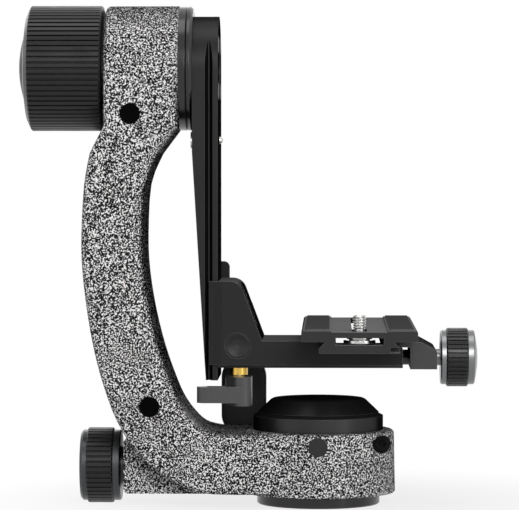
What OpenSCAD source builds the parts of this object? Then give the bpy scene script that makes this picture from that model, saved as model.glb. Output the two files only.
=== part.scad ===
// Gimbal tripod head: a C-shaped cast arm turns on a foot, and a hanging
// swing arm with a height-adjustable cradle and quick-release clamp tilts in it.
// Millimetres. +Z is up, X runs along the tilt axis, -Y is the front.
// The origin is the pan axis at the underside of the foot.

/* [Foot and pan axis] */
// Diameter of the turned foot
foot_d = 60.4; // [56:0.2:66]
// Height of the turned foot
foot_h = 5.4; // [4.6:0.1:7]
// Diameter of the pan spindle
spindle_d = 20; // [18:0.5:21]
// Nominal diameter of the tripod thread (3/8 inch)
tripod_thread_d = 9.525; // [9:0.005:10]
// Depth of the tripod thread
tripod_thread_depth = 13; // [10:0.5:16]
// Outer diameter of the thread bush
bush_d = 14; // [13:0.1:15]

/* [Housing] */
// Diameter of the pan housing at its top
housing_d = 74.6; // [73:0.2:80]
// Extra diameter of the housing at its foot, the draft of the casting
housing_draft = 1; // [0:0.1:2]
// Height of the top of the housing
housing_top = 36.5; // [35:0.1:40]
// Rounding of the housing's top edge
housing_round = 2; // [1:0.1:3]
// Outer diameter of the two pan bearings
pan_bearing_d = 32; // [30:0.5:36]
// Width of the two pan bearings
pan_bearing_w = 7; // [5:0.1:7.5]
// Diameter of the turned cover above the housing
cover_d = 63.8; // [60:0.2:66]
// Height of the cover above the housing
cover_h = 15.3; // [13:0.1:18]
// Wall of the cover
cover_wall = 2.6; // [2:0.1:3.2]

/* [Cast arm] */
// Height of the tilt axis
tilt_z = 214; // [205:0.5:225]
// Farthest reach of the arm's outer curve from the pan axis
arm_reach = 114.6; // [111:0.2:118]
// Depth of the arm at its hub
arm_depth_top = 61; // [58:0.5:64]
// Depth of the arm where it meets the housing
arm_depth_base = 66.6; // [62:0.5:70]
// Rounding of the arm's outer edges
arm_round_outer = 2; // [1:0.1:3]
// Rounding of the arm's inner edges
arm_round_inner = 5; // [3:0.1:6]
// Diameter of the tilt hub
hub_d = 61; // [59:0.5:64]
// Distance from the pan axis to the hub's right face
hub_reach = 68; // [67:0.2:70]
// Length of the tilt hub
hub_len = 36; // [34:0.5:40]
// Rounding of the hub's outer rim
hub_round = 2.5; // [1:0.1:4]
// Outer diameter of the two tilt bearings
tilt_bearing_d = 35; // [32:0.5:38]
// Width of the two tilt bearings
tilt_bearing_w = 10; // [8:0.5:12]
// Diameter of the tilt shaft in its bearings
tilt_shaft_d = 17; // [15:0.5:18]
// Thickness of the bearing cover on the hub
bearing_cover_t = 3.6; // [3:0.1:5]
// Diameter of the blind plugs in the arm
arm_plug_d = 10; // [8:0.5:11]

/* [Swing arm] */
// Width of the swing arm
swing_w = 50.8; // [48:0.2:54]
// Thickness of the swing arm at the shaft
swing_t = 12.5; // [11:0.1:13]
// Thickness of the swing arm at its lower end
swing_tip_t = 5.8; // [5.5:0.1:7]
// Height of the swing arm's lower end
swing_bottom = 62; // [58:0.5:64]
// Thickness of the shaft's own flange
shaft_flange_t = 2.9; // [2.2:0.1:3.2]
// Depth of the groove along each edge of the swing arm
rail_groove_depth = 4; // [3:0.1:4.5]
// Width of the groove's mouth
rail_groove_w = 3.9; // [3.4:0.1:4.4]
// Thickness of the rail's lip between groove and right face
rail_lip_t = 2.4; // [2.2:0.1:3]
// Height of the stop screw near the hub
stop_screw_z = 178.7; // [176:0.1:181]

/* [Cradle] */
// Underside of the cradle
cradle_bottom = 68.2; // [67.6:0.1:69]
// Top of the cradle's rail block
cradle_top = 110.2; // [107:0.2:113]
// Depth of the cradle from front to back
cradle_depth = 55.6; // [54:0.2:58]
// Distance from the pan axis to the platform's right end
platform_reach = 41; // [39:0.2:43]
// Top of the platform
platform_top = 81.3; // [81:0.1:82]
// How far the cradle's jaws reach over the rail
jaw_over = 2.4; // [2:0.1:2.5]
// Height of the cross bolt
cross_bolt_z = 79.1; // [78.5:0.1:80.5]
// Diameter of the cross bolt
cross_bolt_d = 8; // [6:0.5:9]
// Diameter of the cross bolt's cap
bolt_cap_d = 12.4; // [11:0.1:14]

/* [Levers] */
// Length of the hanging clamp lever from its pivot
clamp_lever_len = 49; // [46:0.5:52]
// Width of the clamp lever's paddle
clamp_lever_w = 22.5; // [20:0.5:24]
// Thickness of the clamp lever
clamp_lever_t = 12; // [9:0.5:13]
// Reach of the small lock lever's handle
lock_lever_reach = 20; // [19:0.5:22]
// Diameter of the lock lever's hub
lock_hub_d = 13; // [12:0.2:15]
// Height of the lock lever's hub
lock_hub_h = 14; // [12:0.5:15]
// Diameter of the brass collar over the lock lever
lock_collar_d = 8.6; // [8:0.1:10]

/* [Quick-release clamp] */
// Width of the plate's flange
plate_w = 55; // [52:0.2:58]
// Length of the plate
plate_len = 146; // [130:1:150]
// Distance of the plate's centre line from the pan axis
plate_x = 19.7; // [19.2:0.1:20.2]
// Width of the dovetail at its foot
dovetail_w = 38.2; // [37.8:0.1:38.6]
// Width of the dovetail at its neck
dovetail_neck_w = 33.2; // [32.6:0.1:33.8]
// Height of the dovetail
dovetail_h = 5.5; // [5.2:0.1:5.8]
// Thickness of the plate's flange
plate_t = 5.2; // [5:0.1:6]
// Travel of the moving jaw
jaw_travel = 6; // [4:0.5:8]
// Thickness of the moving jaw
jaw_t = 13; // [12:0.2:14]
// Gap between the platform and the closed jaw
jaw_gap = 3.6; // [3:0.1:4.2]
// Height of the clamp screw's axis
clamp_z = 72; // [71.5:0.1:73]
// Thread diameter of the camera screw (1/4 inch)
camera_thread_d = 6.35; // [6:0.05:6.5]

/* [Knobs] */
// Diameter of the tilt knob over its ribs
tilt_knob_d = 61.5; // [58:0.5:64]
// Length of the tilt knob's ribbed grip
tilt_knob_grip = 35.4; // [33:0.2:38]
// Diameter of the tilt knob's end cap
tilt_knob_cap_d = 37.4; // [34:0.2:40]
// Number of ribs round the tilt knob
tilt_knob_ribs = 70; // [50:1:80]
// Diameter of the pan knob over its ribs
pan_knob_d = 37; // [34:0.2:38]
// Length of the pan knob's ribbed grip
pan_knob_grip = 13; // [11:0.2:15]
// Number of ribs round the pan knob
pan_knob_ribs = 44; // [34:1:48]
// Diameter of the clamp knob over its ribs
clamp_knob_d = 28.8; // [26:0.2:30]
// Length of the clamp knob's ribbed grip
clamp_knob_grip = 10.7; // [9:0.1:12]
// Number of ribs round the clamp knob
clamp_knob_ribs = 40; // [30:1:44]

/* [Hidden] */
$fn = 96;
// Clearances and small edges used throughout
fit = 0.04;
gap = 0.3;
cut = 1;
edge = 0.6;

// Foot and spindle
foot_r = foot_d / 2;
spigot_r = 12;
foot_floor = 2.4;
spindle_r = spindle_d / 2;
spindle_flange_r = 19.5;
base_screw_d = 3;
base_screw_head_d = 5.6;
base_screw_circle_r = (spindle_flange_r + spigot_r) / 2;
tread_depth = 0.5;
tread_shares = [0.2, 0.45, 0.7];
bush_top = tripod_thread_depth + edge;

// Housing and pan bearings
housing_r = housing_d / 2;
housing_z = foot_h + gap;
bearing_lift = 0.2;
bearing_low_z = housing_z + bearing_lift;
bearing_high_z = housing_top - pan_bearing_w;
housing_bore_over = 3;
housing_bore_r = spindle_r + housing_bore_over;
nut_h = 4;
nut_d = 27;
front_plug_d = 9.2;
front_plug_z = 30.5;
clamp_screw_x = 30.9;
clamp_screw_recess_d = 9.1;
clamp_screw_head_d = 8.4;
clamp_screw_face_y = -15.5;
clamp_screw_z = front_plug_z;
hex_socket_d = 4.6;

// Cover above the housing
cover_r = cover_d / 2;
cover_z = housing_top;
cover_rim_share = 0.45;
cover_step_share = 0.56;
cover_step_in = 2.1;
cover_crown_in = 8.5;

// Tilt hub stack, from left to right
hub_r = hub_d / 2;
hub_right = -hub_reach;
hub_left = hub_right - hub_len;
bearing_cover_x = hub_right + bearing_cover_t;
flange_x = bearing_cover_x + gap;
swing_left = flange_x + shaft_flange_t;
swing_right = swing_left + swing_t;
tilt_bearing_r = tilt_bearing_d / 2;
tilt_shaft_r = tilt_shaft_d / 2;
shaft_spigot_r = 9;
shaft_thread_r = 6;
washer_r = 20;
washer_t = 5;
swing_screw_circle_r = 16;
swing_screw_d = 5;
swing_screw_head_d = 8.4;
swing_screw_head_t = 3;

// Arm outline: outer x, outer z, inner x, inner z as shares of the arm's reach and
// of the tilt height, and how far the depth has widened towards the base
arm_shares = [
    [0.964, 0.805, 0.677, 0.805, 0],
    [0.988, 0.734, 0.730, 0.734, 0],
    [1.000, 0.617, 0.743, 0.617, 0],
    [0.995, 0.533, 0.736, 0.533, 0],
    [0.973, 0.436, 0.709, 0.442, 0.05],
    [0.945, 0.355, 0.670, 0.358, 0.15],
    [0.906, 0.278, 0.629, 0.294, 0.3],
    [0.850, 0.199, 0.589, 0.243, 0.5],
    [0.772, 0.133, 0.542, 0.206, 0.75],
    [0.668, 0.082, 0.490, 0.180, 0.9],
    [0.558, 0.049, 0.422, 0.170, 1]
];
arm_substeps = 3;
arm_foot_lift = 1.5;
arm_top_drop = 0.5;
arm_neck_z_share = 0.865;
arm_steps_outer = 2;
arm_steps_inner = 4;
arm_root_out_share = 1.35;
arm_root_in_share = 1.1;
arm_root_end_share = 0.4;
pan_boss_share = 0.828;
pan_boss_left = -arm_reach * pan_boss_share;
pan_boss_root_share = 0.8;
pan_boss_depth = 40;
pan_boss_drop = 3.5;
pan_boss_top = housing_top - pan_boss_drop;
pan_boss_round = 2;
arm_plug_upper_in = 13;
arm_plug_upper_x = hub_left + arm_plug_upper_in;
arm_plug_upper_drop = 22.7;
arm_plug_upper_z = tilt_z - arm_plug_upper_drop;
arm_plug_lower_share = 0.712;
arm_plug_lower_x = -arm_reach * arm_plug_lower_share;
arm_plug_height_share = 0.2313;
arm_plug_lower_z = tilt_z * arm_plug_height_share;
arm_plug_widening_share = 0.33;
arm_plug_depth = 3;
arm_plug_sink = 0.3;

// Pan knob and its brake
pan_knob_z = pan_knob_d / 2;
pan_knob_play = 0.7;
pan_knob_gap_x = pan_boss_left - pan_knob_play;
pan_neck_r = 9.4;
pan_neck_len = 1.4;
pan_ring_d = 34.8;
pan_ring_in = 3.6;
pan_ring_out = 3.2;
pan_stud_r = 4;
pan_stud_len = 34;
brake_pin_gap = 0.5;

// Swing arm
swing_r = swing_w / 2;
rail_mouth_right = swing_right - rail_lip_t;
rail_mouth_left = rail_mouth_right - rail_groove_w;
rail_floor_w = 0.6;
rail_apex_x = (rail_mouth_left + rail_mouth_right) / 2;
rail_flank = atan((rail_groove_w - rail_floor_w) / 2 / rail_groove_depth);
taper_drop = 41;
taper_z = tilt_z - taper_drop;
stop_screw_head_d = 8.4;
stop_screw_head_t = 1.6;
stop_screw_d = 5;
stop_ball_r = 1.7;
stop_ball_out = 0.1;
stop_slot_w = 1;

// Cradle
cradle_left = swing_right + gap;
cradle_half = cradle_depth / 2;
cradle_corner_in = 5.55;
cradle_corner_x = cradle_left + cradle_corner_in;
cradle_slope = 20.6;
cradle_corner_r = 7;
cradle_chamfer = 1.5;
bevel_w = 2;
bevel_right = cradle_left + bevel_w;
slit_w = 2;
slit_y = -14.5;
slit_bottom = 88;
cross_bolt_in = 9.5;
cross_bolt_x = cradle_left + cross_bolt_in;
bolt_cap_t = 2.4;
bolt_cap_sink = 1.4;
rear_jaw_t = 4.4;
rear_jaw_top = 118.3;
rear_jaw_shoulder_z = 94;
rear_jaw_w = 14.6;
rear_jaw_right = cradle_left + rear_jaw_w;
rear_jaw_finger = 8.3;
rear_jaw_round = 3;
rear_jaw_z = cradle_bottom + cradle_chamfer;
rear_jaw_back = swing_r + gap + rear_jaw_t;
jaw_hook_w = 1.2;
jaw_tooth_w = 1.6;
jaw_tip_w = 0.3;
bolt_washer_least_t = 1;
lever_arm_gap = 0.4;
bolt_washer_r = 7.5;
lever_front = max(arm_depth_base / 2 + lever_arm_gap, rear_jaw_back + bolt_washer_least_t + gap);
bolt_washer_t = lever_front - gap - rear_jaw_back;
lever_back = lever_front + clamp_lever_t;
bolt_nut_t = 3;
bolt_nut_d = 15;
clamp_lever_tip_r = 10.6;
clamp_lever_out = 1.2;
clamp_lever_hub_r = 9;
clamp_lever_neck = 9;
clamp_lever_root = 19;
clamp_lever_round = 1.5;

// Lock lever under the cradle: its handle passes in front of the swing arm
lock_in = 9.8;
lock_x = cradle_left + lock_in;
lock_y = -19;
lock_hub_r = lock_hub_d / 2;
lock_drop = 4.1;
lock_top = cradle_bottom - lock_drop;
lock_bottom = lock_top - lock_hub_h;
lock_handle_lift = 1.5;
lock_handle_z = lock_bottom + lock_handle_lift;
lock_handle_h = 7.8;
lock_tip_r = 4;
lock_elbow_r = 4.4;
lock_handle_gap = 0.8;
lock_handle_y = -swing_r - lock_handle_gap - lock_tip_r;
lock_tip_x = lock_x - lock_lever_reach + lock_tip_r;
lock_stud_r = 2.5;
lock_stud_in = 5.2;
lock_stud_top = cradle_bottom + lock_stud_in;
lock_collar_z = lock_top + gap;

// Clamp: platform channel, plate, moving jaw
plate_gap = 1.9;
flange_z = platform_top + plate_gap;
plate_top = flange_z + plate_t;
dovetail_z = flange_z - dovetail_h;
dovetail_lip = 0.5;
dovetail_flank = (dovetail_w - dovetail_neck_w) / 2;
dovetail_foot_h = dovetail_h - dovetail_lip - dovetail_flank;
flank_gap = gap / cos(45);
channel_z = dovetail_z - gap;
channel_left = plate_x - dovetail_w / 2 - gap;
plate_half = plate_w / 2;
window_w = 22.8;
window_low = 81.7;
window_high = 85.1;
screw_slot_w = 7;
screw_slot_margin = 6;
screw_slot_len = plate_len - 2 * screw_slot_margin;
screw_hatch_w = window_w - edge;
screw_hatch_margin = 2;
screw_hatch_len = plate_len - 2 * screw_hatch_margin;
plate_middle_y = 3;
screw_end_in = 10;
screw_y = plate_middle_y - plate_len / 2 + screw_end_in;
plate_recess = 0.6;
plate_recess_w = 26.6;
plate_edge = 0.8;
pad_w = 11.4;
pad_end_margin = 4;
pad_len = plate_len - 2 * pad_end_margin;
pad_proud = 0.7;
pad_sink = 0.8;
pad_round = 1;
pad_margin = 1.8;
notch_w = 4.7;
notch_h = 2.5;
notch_len = 6;
notch_lift = 0.5;
camera_screw_head_d = 10;
camera_screw_head_t = 1.9;
camera_screw_top = 95.5;
camera_neck_r = 2.5;
camera_thread_lift = 0.1;
screw_washer_t = 0.6;
screw_washer_d = 12;
ring_reach = 7.6;
ring_wire = 1.4;
ring_pin_r = 0.5;
jaw_left = platform_reach + jaw_gap;
jaw_right = jaw_left + jaw_t;
jaw_below = 0.5;
jaw_bottom = cradle_bottom - jaw_below;
jaw_top_drop = 0.4;
jaw_top = platform_top - jaw_top_drop;
jaw_lip_t = 2.6;
jaw_lip_left = plate_x + dovetail_w / 2 + gap;
jaw_slope_share = 0.59;
jaw_slope_drop = 4.2;
jaw_round = 1.5;
clamp_screw_r = 3;
clamp_screw_start = 8;
clamp_screw_out = 8.4;
clamp_screw_end = jaw_right + clamp_screw_out + jaw_travel;
guide_pin_r = 2.7;
guide_pin_y = 17;
guide_pin_start = 20;
guide_pin_cover = 4;
clamp_stem_r = 4.1;
clamp_stem_len = 2.7;
clamp_ring_d = 26.8;
clamp_ring_in = 2.8;
clamp_ring_out = 3.2;
clamp_dome_h = 1.5;
clamp_knob_gap_x = jaw_right + gap;

// Tilt knob
tilt_knob_r = tilt_knob_d / 2;
tilt_neck_r = 24;
tilt_neck_len = 0.9;
tilt_rim_len = 0.6;
tilt_knob_right = hub_left - gap - tilt_neck_len;
tilt_grip_right = tilt_knob_right - tilt_rim_len;
tilt_grip_left = tilt_grip_right - tilt_knob_grip;
tilt_dome_len = 3;
tilt_dome_shares = [0.85, 0.62];
tilt_cap_len = 3;
tilt_core_r = 26;
tilt_insert_r = 11;
rib_depth_tilt = 0.8;
rib_depth_small = 0.7;
rib_crest_share = 0.62;
rib_floor_share = 0.16;

// Turns its child, drawn as radius and height, about the X axis
module x_turn() {
    rotate([0, 90, 0]) rotate_extrude() children();
}

// Solid round bar along X from x0 to x1
module x_bar(r, x0, x1) {
    translate([x0, 0, 0]) rotate([0, 90, 0]) cylinder(r = r, h = x1 - x0);
}

// Solid round bar along Y from y0 to y1
module y_bar(r, y0, y1) {
    translate([0, y0, 0]) rotate([-90, 0, 0]) cylinder(r = r, h = y1 - y0);
}

// Slab along Y whose outline is drawn in X and Z
module y_slab(y0, y1) {
    translate([0, y1, 0]) rotate([90, 0, 0]) linear_extrude(y1 - y0) children();
}

// Outline of a disc's section from the axis, rounded at its far rim
module round_rim(r, h, rim) {
    square([r - rim, h]);
    square([r, h - rim]);
    translate([r - rim, h - rim]) circle(rim);
}

// Rectangle with four round corners
module round_rect(w, h, r) {
    translate([r, 0]) square([w - 2 * r, h]);
    translate([0, r]) square([w, h - 2 * r]);
    for (x = [r, w - r]) for (y = [r, h - r]) translate([x, y]) circle(r);
}

// Outline of a gripping ring: ribs with flat crests and narrow valleys
module rib_outline(r, depth, count) {
    turn = 360 / count;
    polygon([
        for (i = [0 : count - 1])
            for (p = [
                [r, 0], [r, rib_crest_share],
                [r - depth, (1 + rib_crest_share - rib_floor_share) / 2],
                [r - depth, (1 + rib_crest_share + rib_floor_share) / 2]
            ])
                p[0] * [cos((i + p[1]) * turn), sin((i + p[1]) * turn)]
    ]);
}

// Rubber sleeve with ribs, chamfered at both ends, along X
module ribbed_sleeve(r, bore_r, x0, x1, depth, count, chamfer) {
    difference() {
        intersection() {
            translate([x0, 0, 0]) rotate([0, 90, 0]) linear_extrude(x1 - x0) rib_outline(r, depth, count);
            x_turn() polygon([
                [0, x0], [r - chamfer, x0], [r, x0 + chamfer],
                [r, x1 - chamfer], [r - chamfer, x1], [0, x1]
            ]);
        }
        x_bar(bore_r, x0 - cut, x1 + cut);
    }
}

// Ring bearing along Z, with its shield set back between the two races
module ring_bearing(r_in, r_out, w) {
    land = (r_out - r_in) / 4;
    shield = w / 12;
    rotate_extrude() polygon([
        [r_in, 0], [r_in + land, 0], [r_in + land, shield], [r_out - land, shield],
        [r_out - land, 0], [r_out, 0], [r_out, w], [r_out - land, w],
        [r_out - land, w - shield], [r_in + land, w - shield], [r_in + land, w], [r_in, w]
    ]);
}

// Screw with a socket head: shank from 0 down to -len, head on top
module socket_screw(d, len, head_d, head_t, socket_d) {
    difference() {
        union() {
            translate([0, 0, -len]) cylinder(d = d, h = len + fit);
            cylinder(d = head_d, h = head_t);
        }
        translate([0, 0, head_t / 3]) cylinder(d = socket_d, h = head_t, $fn = 6);
    }
}

// Foot: turned ring with a tread groove under it, carried by the spindle's flange
module foot_ring() {
    color("#26272a") difference() {
        rotate_extrude() polygon([
            [spigot_r + fit, 0], [foot_r - edge, 0], [foot_r, edge],
            [foot_r, foot_h - edge], [foot_r - edge, foot_h],
            [spindle_flange_r + fit, foot_h], [spindle_flange_r + fit, foot_floor],
            [spigot_r + fit, foot_floor]
        ]);
        for (share = tread_shares) {
            groove_r = spigot_r + (foot_r - spigot_r) * (share + 1) / 2;
            translate([0, 0, -cut]) difference() {
                cylinder(r = groove_r, h = cut + tread_depth);
                translate([0, 0, -cut]) cylinder(r = groove_r - edge, h = 3 * cut + tread_depth);
            }
        }
        foot_screw_places() {
            translate([0, 0, -cut]) cylinder(d = base_screw_d + gap, h = foot_h);
            translate([0, 0, -cut]) cylinder(d = base_screw_head_d + gap, h = cut + foot_floor / 2);
        }
    }
}

module foot_screw_places() {
    for (a = [30, 150, 270]) rotate(a) translate([base_screw_circle_r, 0, 0]) children();
}

// Spindle: spigot and flange below, bearing post above, bored for the bush
module spindle() {
    color("#9fa3a8") difference() {
        union() {
            cylinder(r = spigot_r, h = foot_h);
            translate([0, 0, foot_floor]) cylinder(r = spindle_flange_r, h = foot_h - foot_floor);
            cylinder(r = spindle_r, h = housing_top + gap + nut_h + edge);
        }
        translate([0, 0, -cut]) cylinder(d = bush_d + 2 * fit, h = bush_top + cut);
        foot_screw_places() cylinder(d = base_screw_d + 2 * fit, h = foot_h - edge);
    }
}

// Bush with the tripod thread, cut square at both ends
module tripod_bush() {
    color("#c0a25a") difference() {
        cylinder(d = bush_d, h = bush_top);
        translate([0, 0, -cut]) cylinder(d = tripod_thread_d, h = tripod_thread_depth + cut);
    }
}

module foot_screws() {
    color("#3a3b3d") foot_screw_places() {
        translate([0, 0, edge / 2]) difference() {
            cylinder(d = base_screw_head_d, h = foot_floor / 2 - edge / 2);
            translate([0, 0, -cut]) cylinder(d = base_screw_head_d / 2, h = cut + edge, $fn = 6);
        }
        translate([0, 0, foot_floor / 2]) cylinder(d = base_screw_d, h = foot_h - foot_floor / 2 - edge);
    }
}

// Slotted ring nut that closes the pan bearings, under the cover
module spindle_nut() {
    color("#6d7075") translate([0, 0, housing_top + gap]) difference() {
        cylinder(d = nut_d, h = nut_h);
        translate([0, 0, -cut]) cylinder(r = spindle_r + fit, h = nut_h + 2 * cut);
        for (a = [0, 90]) rotate(a) translate([-nut_d, -cut, nut_h - cut])
            cube([2 * nut_d, 2 * cut, 2 * cut]);
    }
}

// Rows of the cast arm's loft: the hub's two stations, the outline, and the housing end
function arm_rows() = let (root_low = housing_z + arm_foot_lift,
    root_high = housing_top - arm_top_drop) concat(
    [
        [hub_left, tilt_z, hub_right, tilt_z, 0],
        [hub_left, tilt_z * arm_neck_z_share, hub_right, tilt_z * arm_neck_z_share, 0]
    ],
    [for (s = arm_shares) [-arm_reach * s[0], tilt_z * s[1], -arm_reach * s[2], tilt_z * s[3], s[4]]],
    [
        [-housing_r * arm_root_out_share, root_low, -housing_r * arm_root_in_share, root_high, 1],
        [-housing_r * arm_root_end_share, root_low, -housing_r * arm_root_end_share, root_high, 1]
    ]
);

// Point at share t between rows i and i + 1 of a smooth curve through all rows
function smooth(rows, i, t) = let (
    n = len(rows) - 1,
    a = rows[max(i - 1, 0)],
    b = rows[i],
    c = rows[min(i + 1, n)],
    d = rows[min(i + 2, n)]
) 0.5 * (2 * b + (c - a) * t + (2 * a - 5 * b + 4 * c - d) * t * t + (3 * b - a - 3 * c + d) * t * t * t);

// All rows of the loft; the neck's first two spans stay straight
function arm_stations() = let (rows = arm_rows(), tail = [for (i = [2 : len(rows) - 1]) rows[i]])
    concat(
        [rows[0], rows[1]],
        [
            for (i = [0 : len(tail) - 2])
                for (k = [0 : arm_substeps - 1]) smooth(tail, i, k / arm_substeps)
        ],
        [rows[len(rows) - 1]]
    );

// One quarter round of a section, as points across the arm and through its depth
function quarter(cx, cy, r, from, steps) = [
    for (k = [0 : steps]) [cx + r * cos(from + 90 * k / steps), cy + r * sin(from + 90 * k / steps)]
];

// Section across the arm at one station, from the outer edge to the inner edge
function arm_section(row) = let (
    span = [row[2] - row[0], row[3] - row[1]],
    w = norm(span),
    half = (arm_depth_top + (arm_depth_base - arm_depth_top) * row[4]) / 2,
    ro = arm_round_outer,
    ri = ro + (arm_round_inner - ro) * min(1, max(0, tilt_z - row[1]) / hub_r),
    flat = concat(
        quarter(ro, ro - half, ro, 180, arm_steps_outer),
        quarter(w - ri, ri - half, ri, 270, arm_steps_inner),
        quarter(w - ri, half - ri, ri, 0, arm_steps_inner),
        quarter(ro, half - ro, ro, 90, arm_steps_outer)
    )
) [for (p = flat) [row[0] + span[0] * p[0] / w, p[1], row[1] + span[1] * p[0] / w]];

module arm_loft() {
    sections = [for (row = arm_stations()) arm_section(row)];
    n = len(sections[0]);
    last = (len(sections) - 1) * n;
    polyhedron(
        points = [for (s = sections) each s],
        faces = concat(
            [[for (j = [n - 1 : -1 : 0]) j]],
            [[for (j = [0 : n - 1]) last + j]],
            [
                for (i = [0 : len(sections) - 2])
                    for (j = [0 : n - 1])
                        let (a = i * n + j, b = i * n + (j + 1) % n)
                            each [[a, b, b + n], [a, b + n, a + n]]
            ]
        )
    );
}

// Cast arm: hub, lofted C, knob boss and pan housing in one piece, then bored
module j_arm() {
    color("#55575a") difference() {
        union() {
            arm_loft();
            translate([0, 0, tilt_z]) mirror([1, 0, 0]) translate([-hub_right, 0, 0]) x_turn()
                round_rim(hub_r, hub_len, hub_round);
            rotate_extrude() housing_profile();
            y_slab(-pan_boss_depth / 2, pan_boss_depth / 2)
                translate([pan_boss_left, housing_z + edge])
                    round_rect(-housing_r * pan_boss_root_share - pan_boss_left,
                        pan_boss_top - housing_z - edge, pan_boss_round);
        }
        housing_bores();
        hub_bores();
        arm_plug_places() y_bar(arm_plug_d / 2, -cut, arm_plug_depth);
    }
}

module housing_profile() {
    foot_out = housing_r + housing_draft / 2;
    polygon([
        [0, housing_z], [foot_out - edge, housing_z], [foot_out, housing_z + edge],
        [housing_r, housing_top - housing_round], [housing_r - housing_round, housing_top - housing_round],
        [housing_r - housing_round, housing_top], [0, housing_top]
    ]);
    translate([housing_r - housing_round, housing_top - housing_round]) circle(housing_round);
}

module housing_bores() {
    translate([0, 0, housing_z - cut]) cylinder(r = housing_bore_r, h = housing_top);
    pocket_r = pan_bearing_d / 2 + fit;
    translate([0, 0, housing_z - cut])
        cylinder(r = pocket_r, h = bearing_low_z + pan_bearing_w - housing_z + cut);
    translate([0, 0, bearing_high_z]) cylinder(r = pocket_r, h = pan_bearing_w + cut);
    translate([0, 0, pan_knob_z]) x_bar(pan_stud_r + fit, pan_boss_left - cut, 0);
    translate([0, -housing_r - cut, front_plug_z])
        y_bar(front_plug_d / 2 + fit, 0, cut + arm_plug_depth);
    translate([clamp_screw_x, clamp_screw_face_y, clamp_screw_z]) {
        y_bar(clamp_screw_recess_d / 2, -housing_r, base_screw_head_d);
        y_bar(base_screw_d / 2 + fit, 0, 2 * base_screw_head_d + edge);
    }
}

module hub_bores() {
    translate([0, 0, tilt_z]) {
        pocket_r = tilt_bearing_r + fit;
        x_bar(tilt_shaft_r + gap, hub_left - cut, hub_right + cut);
        x_bar(pocket_r, hub_right - tilt_bearing_w, hub_right + cut);
        x_bar(pocket_r, hub_left + washer_t, hub_left + washer_t + tilt_bearing_w);
        x_bar(washer_r + fit, hub_left - cut, hub_left + washer_t);
    }
}

// The two blind plugs on the arm's front, each child starting at the arm's face
module arm_plug_places() {
    translate([arm_plug_upper_x, -arm_depth_top / 2, arm_plug_upper_z]) children();
    translate([arm_plug_lower_x, -arm_plug_lower_face(), arm_plug_lower_z]) children();
}

// Depth of the arm's front face at the lower plug
function arm_plug_lower_face()
    = (arm_depth_top + (arm_depth_base - arm_depth_top) * arm_plug_widening_share) / 2;

module arm_plugs() {
    color("#2b2c2e") arm_plug_places() difference() {
        y_bar(arm_plug_d / 2 - fit, arm_plug_sink, arm_plug_depth);
        y_bar(arm_plug_d / 2 - edge, 0, 2 * arm_plug_sink);
    }
}

module front_plug() {
    color("#3c3d40") translate([0, -housing_r, front_plug_z]) y_bar(front_plug_d / 2, 0, arm_plug_depth);
}

module clamp_cap_screw() {
    color("#1c1c1e") translate([clamp_screw_x, clamp_screw_face_y, clamp_screw_z])
        rotate([90, 0, 0]) difference() {
            union() {
                translate([0, 0, -base_screw_head_d])
                    cylinder(d = clamp_screw_head_d, h = base_screw_head_d);
                translate([0, 0, -2 * base_screw_head_d])
                    cylinder(d = base_screw_d, h = base_screw_head_d + fit);
            }
            translate([0, 0, -base_screw_d]) cylinder(d = hex_socket_d, h = base_screw_head_d, $fn = 6);
        }
}

// Turned cover: straight rim, groove, 45 degree shoulder and flat crown, hollow inside
module housing_cover() {
    rim_z = cover_z + cover_h * cover_rim_share;
    step_z = cover_z + cover_h * cover_step_share;
    top_z = cover_z + cover_h;
    crown_r = cover_r - cover_crown_in;
    color("#232427") rotate_extrude() difference() {
        union() {
            polygon([
                [0, cover_z], [cover_r, cover_z], [cover_r, rim_z],
                [cover_r - cover_step_in, step_z - edge], [cover_r - cover_step_in - edge,
                    step_z - edge / 2],
                [cover_r - cover_step_in, step_z],
                [crown_r, top_z - edge], [crown_r - 2 * edge, top_z], [0, top_z]
            ]);
        }
        polygon([
            [0, cover_z - cut], [cover_r - 2 * cover_wall, cover_z - cut],
            [cover_r - 2 * cover_wall, rim_z - edge],
            [crown_r - cover_wall, top_z - cover_wall - edge], [0, top_z - cover_wall]
        ]);
    }
}

module pan_bearings() {
    color("#b4b7bb") for (z = [bearing_low_z, bearing_high_z])
        translate([0, 0, z]) ring_bearing(spindle_r + fit, pan_bearing_d / 2, pan_bearing_w);
}

module tilt_bearings() {
    color("#b4b7bb") for (x = [hub_left + washer_t, hub_right - tilt_bearing_w])
        translate([x, 0, tilt_z]) rotate([0, 90, 0])
            ring_bearing(tilt_shaft_r + fit, tilt_bearing_r, tilt_bearing_w);
}

// Cover ring on the hub's right face, with a fine edge chamfer
module bearing_cover() {
    color("#17181a") translate([0, 0, tilt_z]) x_turn() polygon([
        [tilt_shaft_r + gap, hub_right], [hub_r, hub_right], [hub_r, bearing_cover_x - edge / 2],
        [hub_r - edge / 2, bearing_cover_x], [tilt_shaft_r + gap, bearing_cover_x]
    ]);
}

// Washer that the tilt knob presses on, set in the hub's left face
module thrust_washer() {
    color("#c0a25a") translate([0, 0, tilt_z]) x_turn() polygon([
        [tilt_shaft_r + gap, hub_left], [washer_r, hub_left],
        [washer_r, hub_left + washer_t], [tilt_shaft_r + gap, hub_left + washer_t]
    ]);
}

// Brass pin that the pan knob's stud pushes against the spindle
module brake_pin() {
    color("#c0a25a") translate([0, 0, pan_knob_z])
        x_bar(pan_stud_r, pan_boss_left + pan_stud_len + brake_pin_gap, -spindle_r - gap);
}

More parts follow.
